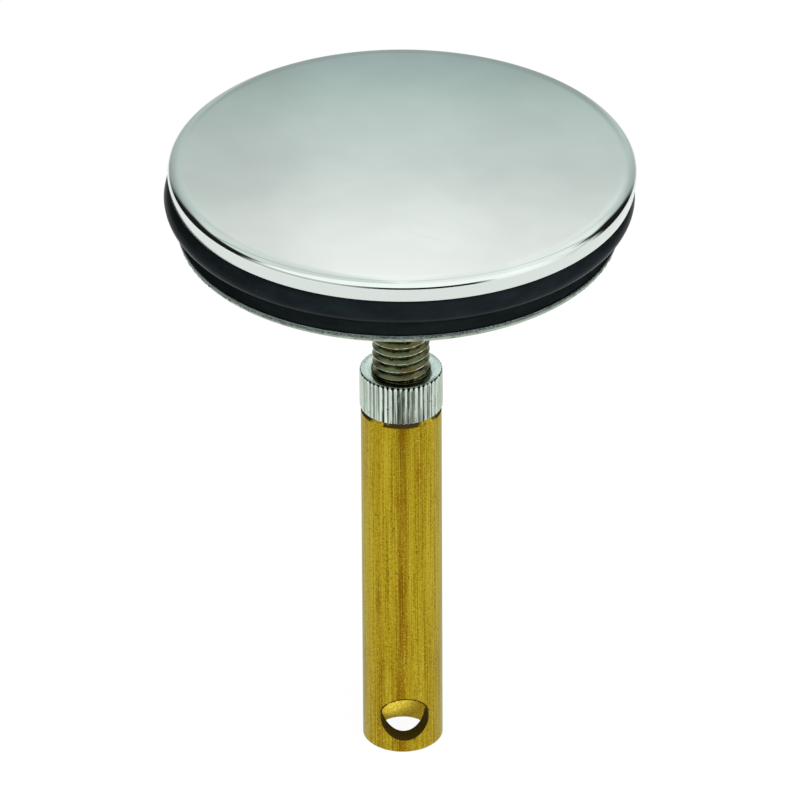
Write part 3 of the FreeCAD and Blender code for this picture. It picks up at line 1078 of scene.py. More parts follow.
    def from_hole_axis(self, graph: Graph) -> Socket:
        """Distance from the lever hole's axis, which runs along Y.

        Args:
            graph: Canvas of the material.

        Returns:
            The distance in mm.
        """
        parts = graph.add("ShaderNodeSeparateXYZ", {0: Effects.position(graph)}).outputs
        up = graph.minus(parts[2], self.hole_height)
        squares = graph.plus(graph.times(parts[0], parts[0]), graph.times(up, up))
        return graph.math("SQRT", squares)

    def hole_wall(self, graph: Graph) -> Socket:
        """Mask of the lever hole's drilled wall, which gets painted shade.

        Args:
            graph: Canvas of the material.

        Returns:
            The mask.
        """
        parts = graph.add("ShaderNodeSeparateXYZ", {0: Effects.position(graph)}).outputs
        near = graph.ease(self.from_hole_axis(graph), self.hole_radius + 0.06, self.hole_radius + 0.02)
        return graph.times(near, graph.ease(parts[1], 0.0, -1.0))


@dataclass
class PlugHead:
    """Plug head: cap, seal carrier, backing plate, clamp nut and the stud that holds them.

    Lengths and heights are in mm, and heights are above the stem's lower end.

    Attributes:
        steps: Facets round the large turned pieces.
        cap_radius: Outside of the cap.
        cap_underside: Height of its underside.
        cap_edge_height: Its edge from underside to face.
        cap_crown: Rise of its face at the middle.
        cap_roll: Width over which the face rolls off to the rim.
        cap_roll_drop: Drop over that width.
        cap_roll_start: How late the roll-off begins; 2 is an ellipse.
        cap_roll_power: How tightly it ends at the rim; 2 is an ellipse.
        cap_roll_steps: Facets of the roll-off.
        rim_taper: How much the rim narrows for each mm downwards.
        rim_lip: How far the rim stands below the underside.
        rim_lip_width: Width of that lip.
        rim_round: Rounding of the rim's lower edge.
        cap_groove: Depth of the groove under the cap that leaves the ring room.
        cap_aside: How far the cap sits to the right.
        cap_tip: How far it tips to the front, in degrees.
        crown_rings: Rings of facets on the face.
        boss_radius: Outside of the boss under the cap.
        boss_end: Height of its lower end.
        boss_chamfer: Its lower edge.
        boss_fillet: Rounding between boss and underside.
        tapped_radius: Radius of the tapped holes in boss and clamp nut.
        tapped_end: Height at which the boss's hole ends.
        loose_from: Distance from the axis beyond which cap, carrier and plate sit askew.
        loose_skirt: How far below the underside the cap's middle sits askew too.
        carrier_bottom: Height of the carrier's lower side.
        flange_radius: Outside of its flange.
        flange_top: Height of the flange's upper side.
        flange_round: Rounding of the flange's edges.
        hub_radius: Outside of its hub, inside the ring.
        hub_round: Rounding between flange and hub.
        carrier_hole: Radius of its hole round the boss.
        carrier_aside: How far carrier and plate sit to the right.
        plate_bottom: Height of the plate's lower side.
        plate_radius: Outside of the plate.
        plate_hole: Radius of its hole.
        plate_steps: Facets round the plate.
        plate_tear: How far points of its torn edge stray.
        clamp_bottom: Height of the clamp nut's lower side.
        clamp_flats: Width across its flats.
        clamp_slope: Drop of its turned corners.
        clamp_overrun: How far its turned body reaches past the corners.
        clamp_lead: Countersink at both ends of its hole.
        clamp_steps: Facets round its turned body.
        stud_bottom: Height of the stud's lower end.
        stud_top: Height of its upper end.
        stud_crest: Radius of the thread over its crests.
        stud_pitch: Pitch of the thread.
        stud_depth: Depth of the thread.
        stud_flank: Angle of a flank, in degrees.
        stud_crest_share: Half the crest's flat as a share of the pitch.
        stud_crest_at_front: Height of one crest at the front.
        stud_steps: Facets of one turn of the thread.
    """

    steps: int = 256
    cap_radius: float = 31.5
    cap_underside: float = 88.05
    cap_edge_height: float = 2.8
    cap_crown: float = 0.6
    cap_roll: float = 2.4
    cap_roll_drop: float = 1.1
    cap_roll_start: float = 3.5
    cap_roll_power: float = 2.3
    cap_roll_steps: int = 56
    rim_taper: float = 0.13
    rim_lip: float = 0.03
    rim_lip_width: float = 0.25
    rim_round: float = 0.06
    cap_groove: float = 0.3
    cap_aside: float = 0.27
    cap_tip: float = 0.33
    crown_rings: int = 24
    boss_radius: float = 7.0
    boss_end: float = 82.65
    boss_chamfer: float = 0.6
    boss_fillet: float = 0.3
    tapped_radius: float = TAPPED_RADIUS
    tapped_end: float = 89.05
    loose_from: float = 11.15
    loose_skirt: float = 0.5
    carrier_bottom: float = 81.65
    flange_radius: float = 29.65
    flange_top: float = 83.65
    flange_round: float = 0.3
    hub_radius: float = 27.15
    hub_round: float = 0.2
    carrier_hole: float = 7.15
    carrier_aside: float = -0.26
    plate_bottom: float = 80.55
    plate_radius: float = 29.8
    plate_hole: float = 4.05
    plate_steps: int = 720
    plate_tear: float = 0.05
    clamp_bottom: float = 76.55
    clamp_flats: float = 13.0
    clamp_slope: float = 0.6
    clamp_overrun: float = 0.5
    clamp_lead: float = 0.4
    clamp_steps: int = 144
    stud_bottom: float = 36.8
    stud_top: float = 88.75
    stud_crest: float = 3.9
    stud_pitch: float = 1.25
    stud_depth: float = 0.767
    stud_flank: float = 30.0
    stud_crest_share: float = 1 / 22
    stud_crest_at_front: float = 62.77
    stud_steps: int = 96

    @staticmethod
    def plating() -> Finish:
        """Finish of the cap."""
        return MirrorPlating("polished_plating", tint(222, 230, 226), roughness=0.06)

    @staticmethod
    def plastic() -> Finish:
        """Finish of the carrier."""
        return BlackRubber("black_carrier", tint(15, 19, 20), metallic=0.0, roughness=0.5, specular=0.0,
                           dust=0.0)

    def sheet(self) -> Finish:
        """Finish of the plate."""
        return ShearedSteel("sheared_steel", tint(172, 190, 184), roughness=0.4, bottom=self.plate_bottom,
                            thickness=self.carrier_bottom - self.plate_bottom)

    @staticmethod
    def nut_steel() -> Finish:
        """Finish of the clamp nut."""
        return PlainSteel("clamp_nut_steel", tint(150, 150, 142), roughness=0.42)

    def nickel(self) -> Finish:
        """Finish of the stud."""
        return RolledNickel("rolled_nickel", tint(162, 173, 141), roughness=0.3, root=self.stud_root(),
                            crest=self.stud_crest)

    def stud_root(self) -> float:
        """Radius of the thread at its root, in mm."""
        return self.stud_crest - self.stud_depth

    def cap_top(self) -> float:
        """Height of the cap's edge before its rounding, in mm."""
        return self.cap_underside + self.cap_edge_height

    def face_height(self, r: float) -> float:
        """Height of the crowned face.

        Args:
            r: Distance from the axis, in mm.

        Returns:
            The height in mm.
        """
        crown_radius = (self.cap_radius ** 2 + self.cap_crown ** 2) / (2 * self.cap_crown)
        drop = crown_radius - math.sqrt(crown_radius ** 2 - r ** 2)
        return self.cap_top() + self.cap_crown - drop

    def build_cap(self) -> bpy.types.Object:
        """Turn the cap with its crowned face, soft edge, tapered rim and tapped boss.

        Returns:
            The cap.
        """
        edge = self.edge_corners()
        lip = self.cap_underside - self.rim_lip
        rim = edge[-1].r - self.rim_taper * (edge[-1].z - lip)
        rings = [edge[0].r * step / self.crown_rings for step in range(self.crown_rings)]
        face = [Corner(r, self.face_height(r)) for r in rings]
        cap = Bench.turn("cap_polished", [
            *face,
            *edge,
            Corner(rim, lip, self.rim_round, 3),
            Corner(rim - self.rim_lip_width, lip),
            Corner(rim - self.rim_lip_width, self.cap_underside + self.cap_groove),
            Corner(self.hub_radius, self.cap_underside + self.cap_groove),
            Corner(self.hub_radius, self.cap_underside),
            Corner(self.boss_radius, self.cap_underside, self.boss_fillet, 4),
            Corner(self.boss_radius, self.boss_end + self.boss_chamfer),
            Corner(self.boss_radius - self.boss_chamfer, self.boss_end),
            Corner(self.tapped_radius, self.boss_end),
            Corner(self.tapped_radius, self.tapped_end),
            Corner(0.0, self.tapped_end),
        ], self.steps, closed=False)
        skirt = self.cap_underside - self.loose_skirt
        Bench.seat_loosely(cap, self.loose_from, skirt, self.cap_aside, self.cap_tip)
        return cap

    def edge_corners(self) -> list[Corner]:
        """Corners of the cap's edge, which rolls off from the face ever more steeply.

        Returns:
            The corners from the face outwards, up to where the slope meets the rim's taper.
        """
        inner = self.cap_radius - self.cap_roll
        flat, steep = 2 / self.cap_roll_start, 2 / self.cap_roll_power
        lean = self.rim_taper * self.cap_roll_drop * steep / (self.cap_roll * flat)
        end = math.pi / 2 + math.atan(lean ** (1 / (2 - steep)))
        corners = []
        for step in range(self.cap_roll_steps + 1):
            angle = end * step / self.cap_roll_steps
            r = inner + self.cap_roll * math.sin(angle) ** flat
            above = math.copysign(abs(math.cos(angle)) ** steep, math.cos(angle))
            corners.append(Corner(r, self.face_height(r) - self.cap_roll_drop * (1 - above)))
        return corners

    def build_carrier(self) -> bpy.types.Object:
        """Turn the carrier with its flange and hub.

        Returns:
            The carrier.
        """
        carrier = Bench.turn("seal_carrier_moulded", [
            Corner(self.carrier_hole, self.carrier_bottom),
            Corner(self.flange_radius, self.carrier_bottom, self.flange_round, 5),
            Corner(self.flange_radius, self.flange_top, self.flange_round, 5),
            Corner(self.hub_radius, self.flange_top, self.hub_round, 4),
            Corner(self.hub_radius, self.cap_underside),
            Corner(self.carrier_hole, self.cap_underside),
        ], self.steps)
        Bench.seat_loosely(carrier, self.loose_from, self.cap_underside, self.carrier_aside)
        return carrier

    def build_plate(self) -> bpy.types.Object:
        """Turn the backing plate, with a rolled upper edge and a torn lower one.

        Returns:
            The plate.
        """
        bottom, top = self.plate_bottom, self.carrier_bottom
        edge = self.plate_radius
        plate = Bench.turn("backing_plate_sheared", [
            Corner(self.plate_hole, bottom),
            Corner(edge - 0.6, bottom),
            Corner(edge - 0.34, bottom + 0.04, 0.05, 2),
            Corner(edge - 0.2, bottom + 0.22),
            Corner(edge - 0.24, bottom + 0.4),
            Corner(edge - 0.18, bottom + 0.6),
            Corner(edge - 0.03, bottom + 0.74),
            Corner(edge, top - 0.2),
            Corner(edge - 0.06, top - 0.03, 0.05, 3),
            Corner(edge - 0.4, top),
            Corner(self.plate_hole, top),
        ], self.plate_steps)
        Bench.take(plate)
        Bench.edit()
        low, high = bottom + 0.2, bottom + 0.62
        Bench.pick_points(lambda at: low < at.z < high and math.hypot(at.x, at.y) > edge - 0.4)
        bpy.ops.transform.vertex_random(offset=self.plate_tear * MM, uniform=1.0, normal=0.0, seed=11)
        Bench.leave()
        Bench.seat_loosely(plate, self.loose_from, self.cap_underside, self.carrier_aside)
        return plate

    def build_clamp_nut(self) -> bpy.types.Object:
        """Cut a hexagon bar with a turned body that takes off its corners.

        Returns:
            The clamp nut.
        """
        bottom, top = self.clamp_bottom, self.plate_bottom
        flat = self.clamp_flats / 2
        corner = flat / math.cos(math.pi / 6)
        outside = corner + self.clamp_overrun
        slope = self.clamp_slope * (outside - flat) / (corner - flat)
        sunk = self.tapped_radius + self.clamp_lead
        nut = Bench.turn("clamp_nut_hex", [
            Corner(sunk, bottom),
            Corner(flat - 0.05, bottom),
            Corner(outside, bottom + slope),
            Corner(outside, top - slope),
            Corner(flat - 0.05, top),
            Corner(sunk, top),
            Corner(self.tapped_radius, top - self.clamp_lead),
            Corner(self.tapped_radius, bottom + self.clamp_lead),
        ], self.clamp_steps)
        Bench.clear()
        bpy.ops.mesh.primitive_cylinder_add(vertices=6, radius=corner * MM, depth=(top - bottom + 2) * MM,
                                            location=(0, 0, (top + bottom) / 2 * MM),
                                            rotation=(0, 0, math.radians(90)))
        bar = Bench.adopt("hex_bar")
        Bench.combine(nut, bar, Blend.KEEP_COMMON)
        return nut

    def build_stud(self) -> bpy.types.Object:
        """Wind one pitch of the thread up the stud and cut it to length.

        Returns:
            The stud.
        """
        root = self.stud_root()
        half = self.stud_pitch / 2
        crest_flat = self.stud_pitch * self.stud_crest_share
        flank = crest_flat + self.stud_depth * math.tan(math.radians(self.stud_flank))
        turns = math.ceil((self.stud_top - self.stud_bottom) / self.stud_pitch) + 3
        crest_at_side = self.stud_crest_at_front + self.stud_pitch / 4
        below = math.ceil((crest_at_side - self.stud_bottom) / self.stud_pitch) + 1
        first = crest_at_side - below * self.stud_pitch
        stud = Bench.draw_section("stud_threaded", [
            Corner(root, first - half),
            Corner(root, first - flank, 0.06, 3),
            Corner(self.stud_crest, first - crest_flat, 0.03, 2),
            Corner(self.stud_crest, first + crest_flat, 0.03, 2),
            Corner(root, first + flank, 0.06, 3),
            Corner(root, first + half),
        ], closed=False)
        Bench.leave()
        winding = stud.modifiers.new("thread", "SCREW")
        winding.axis = "Z"
        winding.angle = FULL_TURN
        winding.screw_offset = self.stud_pitch * MM
        winding.iterations = turns
        winding.steps = self.stud_steps
        winding.render_steps = self.stud_steps
        bpy.ops.object.modifier_apply(modifier=winding.name)
        self.trim_stud(stud)
        return stud

    def trim_stud(self, stud: bpy.types.Object) -> None:
        """Cut the stud to length and close its ends.

        Args:
            stud: The wound thread.
        """
        Bench.take(stud)
        Bench.edit()
        Bench.close_up()
        for height, direction in ((self.stud_top, 1), (self.stud_bottom, -1)):
            bpy.ops.mesh.select_all(action="SELECT")
            bpy.ops.mesh.bisect(plane_co=(0, 0, height * MM), plane_no=(0, 0, direction),
                                use_fill=True, clear_outer=True)
        Bench.close_up()
        Bench.leave()

    def assemble(self) -> None:
        """Build, shade and dress the head's pieces."""
        dress(self.build_cap(), self.plating(), Body.HEAD, "plug_cap", 30)
        dress(self.build_carrier(), self.plastic(), Body.HEAD, "seal_carrier", 30)
        dress(self.build_plate(), self.sheet(), Body.HEAD, "backing_plate", 35)
        dress(self.build_clamp_nut(), self.nut_steel(), Body.HEAD, "clamp_nut", 25)
        dress(self.build_stud(), self.nickel(), Body.HEAD, "threaded_stud", 35)


@dataclass
class Seal:
    """Rubber seal ring with a fine moulding line round its outside.

    Attributes:
        middle_radius: Radius of the ring's middle line, in mm.
        section_radius: Radius of its round section, in mm.
        aside: How far it sits to the right, in mm.
        height: Height of its middle line, in mm.
        flash: How far the moulding line stands proud, in mm.
        round_steps: Facets round the ring.
        section_steps: Facets round its section.
    """

    middle_radius: float = 29.65
    section_radius: float = 2.0
    aside: float = -0.1
    height: float = 85.95
    flash: float = 0.02
    round_steps: int = 256
    section_steps: int = 48

    @staticmethod
    def rubber() -> Finish:
        """Finish of the ring."""
        return BlackRubber("moulded_rubber", tint(18, 23, 25), metallic=0.0, roughness=0.28, specular=0.018,
                           dust=0.06)

    def build(self) -> bpy.types.Object:
        """Make the ring and raise its moulding line.

        Returns:
            The ring.
        """
        Bench.clear()
        bpy.ops.mesh.primitive_torus_add(
            major_radius=self.middle_radius * MM, minor_radius=(self.section_radius - self.flash) * MM,
            major_segments=self.round_steps, minor_segments=self.section_steps,
            location=(0, 0, self.height * MM))
        ring = Bench.adopt("seal_ring_moulded")
        Bench.edit()
        outside = self.middle_radius + self.section_radius
        inner = outside - 2 * self.flash
        Bench.pick_points(lambda at: math.hypot(at.x, at.y) > inner and abs(at.z - self.height) < 0.01)
        grow = outside / (outside - self.flash)
        bpy.ops.transform.resize(value=(grow, grow, 1), center_override=(0, 0, self.height * MM))
        Bench.leave()
        Bench.seat_loosely(ring, 0.0, self.height, self.aside)
        return ring

    def assemble(self) -> None:
        """Build, shade and dress the ring."""
        dress(self.build(), self.rubber(), Body.SEAL, "seal_ring", 40)


@dataclass
class LockNut:
    """Round lock nut with a straight knurl.

    Attributes:
        bottom: Height of its lower end, in mm.
        length: Its height, in mm.
        tip_radius: Radius over the teeth, in mm.
        root_radius: Radius at the bottom of the deepest grooves, in mm.
        chamfer: Its lower outer edge, in mm.
        end_chamfer: Its upper outer edge, in mm.
        lead: Countersink at both ends of its hole, in mm.
        edge_round: Rounding of the upper face's edges, in mm.
        hole_radius: Radius of its hole, in mm.
        teeth: Number of teeth.
        blank_points: Facets of the blank for each tooth.
        tooth_points: Points of one tooth and groove round the nut.
        flank_points: Points from a groove's middle to its tooth's tip.
        depths: Shares of the full depth that the grooves have in turn.
        depth_stride: Steps through those shares from one groove to the next.
        unevenness: How far points stray, in mm.
        tip_overrun: How far the knurl's tips reach past the blank, in mm.
        end_overrun: How far the knurl reaches past both ends of the blank, in mm.
    """

    bottom: float = STEM_TOP
    length: float = 6.0
    tip_radius: float = 5.65
    root_radius: float = 5.35
    chamfer: float = 0.4
    end_chamfer: float = 0.18
    lead: float = 0.15
    edge_round: float = 0.04
    hole_radius: float = TAPPED_RADIUS
    teeth: int = 48
    blank_points: int = 6
    tooth_points: int = 12
    flank_points: int = 5
    depths: tuple[float, ...] = (1.0, 0.78, 0.92, 0.66, 0.86)
    depth_stride: int = 7
    unevenness: float = 0.03
    tip_overrun: float = 0.02
    end_overrun: float = 1.0

    def plating(self) -> Finish:
        """Finish of the nut."""
        return KnurledPlating("knurled_plating", tint(198, 213, 199), roughness=0.24, teeth=self.teeth,
                              end_height=self.top(), end_radius=self.tip_radius - self.end_chamfer)

    def top(self) -> float:
        """Height of the upper end, in mm."""
        return self.bottom + self.length

    def build_blank(self) -> bpy.types.Object:
        """Turn the nut's blank with chamfered edges and a countersunk hole.

        Returns:
            The blank.
        """
        bottom, top = self.bottom, self.top()
        return Bench.turn("lock_nut_knurled", [
            Corner(self.hole_radius + self.lead, bottom),
            Corner(self.tip_radius - self.chamfer, bottom),
            Corner(self.tip_radius, bottom + self.chamfer),
            Corner(self.tip_radius, top - self.end_chamfer),
            Corner(self.tip_radius - self.end_chamfer, top, self.edge_round, 2),
            Corner(self.hole_radius + self.lead, top, self.edge_round, 2),
            Corner(self.hole_radius, top - self.lead),
            Corner(self.hole_radius, bottom + self.lead),
        ], self.teeth * self.blank_points)

    def point_radius(self, point: int) -> float:
        """Radius at one of the points round the knurl; the first lies in the middle of a groove.

        Args:
            point: Number of the point.

        Returns:
            The radius in mm.
        """
        groove, step = divmod(point + self.tooth_points // 2, self.tooth_points)
        from_groove = abs(step - self.tooth_points // 2)
        deep = self.depths[groove * self.depth_stride % self.teeth % len(self.depths)]
        rise = min(from_groove / self.flank_points, 1.0)
        tip = self.tip_radius + self.tip_overrun
        return tip - (tip - self.root_radius) * deep * (1 - rise)

    def build_knurl(self) -> bpy.types.Object:
        """Press the grooves into a disc and extrude it past both ends of the nut.

        Returns:
            The body that the blank is cut with.
        """
        points = self.teeth * self.tooth_points
        spacing = FULL_TURN / points
        Bench.clear()
        bpy.ops.mesh.primitive_circle_add(
            vertices=points, radius=MM, fill_type="NGON",
            location=(0, 0, (self.bottom - self.end_overrun) * MM))
        knurl = Bench.adopt("knurl")
        Bench.edit()
        for radius in sorted({round(self.point_radius(point), 4) for point in range(points)}):
            Bench.pick_points(lambda at, wanted=radius: math.hypot(at.x, at.y) < 2 and wanted == round(
                self.point_radius(round(math.atan2(at.y, at.x) / spacing) % points), 4))
            bpy.ops.transform.resize(value=(radius, radius, 1), center_override=(0, 0, 0))
        bpy.ops.mesh.select_all(action="SELECT")
        bpy.ops.transform.vertex_random(offset=self.unevenness * MM, uniform=1.0, normal=0.0, seed=5)
        height = self.length + 2 * self.end_overrun
        bpy.ops.mesh.extrude_region_move(TRANSFORM_OT_translate={"value": (0, 0, height * MM)})
        Bench.close_up()
        Bench.leave()
        return knurl

    def assemble(self) -> None:
        """Build, shade and dress the nut."""
        nut = self.build_blank()
        Bench.combine(nut, self.build_knurl(), Blend.KEEP_COMMON)
        dress(nut, self.plating(), Body.LOCK_NUT, "lock_nut", 28)


@dataclass
class Stem:
    """Brass stem: a tapped tube with a lever hole through its front wall.

    Attributes:
        radius: Outside of the tube, in mm.
        length: Its length, in mm.
        top_chamfer: Its upper outer edge, in mm.
        end_chamfer: Its lower outer edge, in mm.
        bore_radius: Radius of the lower bore, in mm.
        mouth_chamfer: Lower edge of that bore, in mm.
        tapped_radius: Radius of the tapped part, in mm.
        tapped_end: Height at which the tapped part ends, in mm.
        tapped_lead: Countersink at its top, in mm.
        hole_radius: Radius of the lever hole, in mm.
        hole_height: Height of the hole's axis, in mm.
        hole_edge: Broken outer edge of the hole, in mm.
        drill_overrun: How far the drill starts outside the tube, in mm.
        steps: Facets round the tube.
        hole_steps: Facets round the hole.
        ring_spacing: Height of one ring of facets near the hole, in mm.
        ringed_height: Height up to which there are such rings, in mm.
    """

    radius: float = 5.5
    length: float = STEM_TOP
    top_chamfer: float = 0.5
    end_chamfer: float = 0.2
    bore_radius: float = 3.0
    mouth_chamfer: float = 0.6
    tapped_radius: float = TAPPED_RADIUS
    tapped_end: float = 25.8
    tapped_lead: float = 0.5
    hole_radius: float = 3.3
    hole_height: float = 5.25
    hole_edge: float = 0.07
    drill_overrun: float = 2.0
    steps: int = 256
    hole_steps: int = 96
    ring_spacing: float = 1.0
    ringed_height: float = 11.0

    def brass(self) -> Finish:
        """Drawn brass with the stem's own sizes.

        Returns:
            The finish.
        """
        return DrawnBrass("drawn_brass", tint(179, 156, 31), roughness=0.36, specular=0.12,
                          radius=self.radius, top=self.length,
                          hole_height=self.hole_height, hole_radius=self.hole_radius)

    def levels(self, low: float) -> list[float]:
        """Heights of the rings of facets round the lever hole.

        Args:
            low: Where they begin, in mm.

        Returns:
            The heights in mm, going up.
        """
        count = int((self.ringed_height - low) / self.ring_spacing)
        return [low + self.ring_spacing * (number + 1) for number in range(count)]

    def build_tube(self) -> bpy.types.Object:
        """Turn the stem with its bore, tapped part and chamfers.

        Returns:
            The tube.
        """
        step_end = self.tapped_end - (self.tapped_radius - self.bore_radius)
        outside = [Corner(self.radius, z) for z in self.levels(self.end_chamfer)]
        inside = [Corner(self.bore_radius, z) for z in reversed(self.levels(self.mouth_chamfer))]
        return Bench.turn("stem_drawn", [
            Corner(self.bore_radius + self.mouth_chamfer, 0.0),
            Corner(self.radius - self.end_chamfer, 0.0),
            Corner(self.radius, self.end_chamfer),
            *outside,
            Corner(self.radius, self.length - self.top_chamfer, 0.05, 2),
            Corner(self.radius - self.top_chamfer, self.length),
            Corner(self.tapped_radius + self.tapped_lead, self.length),
            Corner(self.tapped_radius, self.length - self.tapped_lead),
            Corner(self.tapped_radius, self.tapped_end),
            Corner(self.bore_radius, step_end),
            *inside,
            Corner(self.bore_radius, self.mouth_chamfer),
        ], self.steps)

    def drill(self, stem: bpy.types.Object) -> None:
        """Drill the lever hole from the front to the axis and break its outer edge.

        Args:
            stem: The turned stem.
        """
        reach = self.radius + self.drill_overrun
        Bench.clear()
        bpy.ops.mesh.primitive_cylinder_add(
            vertices=self.hole_steps, radius=self.hole_radius * MM, depth=reach * MM,
            location=(0, -reach / 2 * MM, self.hole_height * MM), rotation=(math.radians(90), 0, 0))
        Bench.combine(stem, Bench.adopt("drill"), Blend.CUT)
        Bench.take(stem)
        Bench.edit("EDGE")
        Bench.pick_edges(lambda first, second: self.on_hole_edge(first) and self.on_hole_edge(second))
        bpy.ops.mesh.bevel(offset=self.hole_edge * MM, segments=2, affect="EDGES")
        Bench.leave()

    def on_hole_edge(self, at: Vector) -> bool:
        """Whether a point lies on the lever hole's outer edge.

        Args:
            at: Place in mm.

        Returns:
            True on the edge.
        """
        from_axis = math.hypot(at.x, at.z - self.hole_height)
        return abs(from_axis - self.hole_radius) < 0.01 and math.hypot(at.x, at.y) > self.radius - 0.02

    def assemble(self) -> None:
        """Build, shade and dress the stem."""
        stem = self.build_tube()
        self.drill(stem)
        dress(stem, self.brass(), Body.STEM, "stem", 28)


def dress(piece: bpy.types.Object, finish: Finish, body: Body, node: str, sharp: float) -> None:
    """Shade a piece, give it its finish and tie it to the part.

    Args:
        piece: Finished mesh.
        finish: Its finish.
        body: Body that it rides on.
        node: Part's node that it stands for.
        sharp: Angle above which its edges stay sharp, in degrees.
    """
    Bench.smooth(piece, sharp)
    piece.data.materials.clear()
    piece.data.materials.append(finish.material())
    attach(piece, body.value)
    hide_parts(node)
    LOG.info("%s: %d faces, rides on %s", piece.name, len(piece.data.polygons), body.value)


@dataclass(frozen=True)
class SkyStop:
    """Brightness of the studio at one angle.

    Attributes:
        angle: Degrees above the horizon, or from straight behind to the right.
        colour: Light there, as a share of the studio's full light.
    """

    angle: float
    colour: Colour


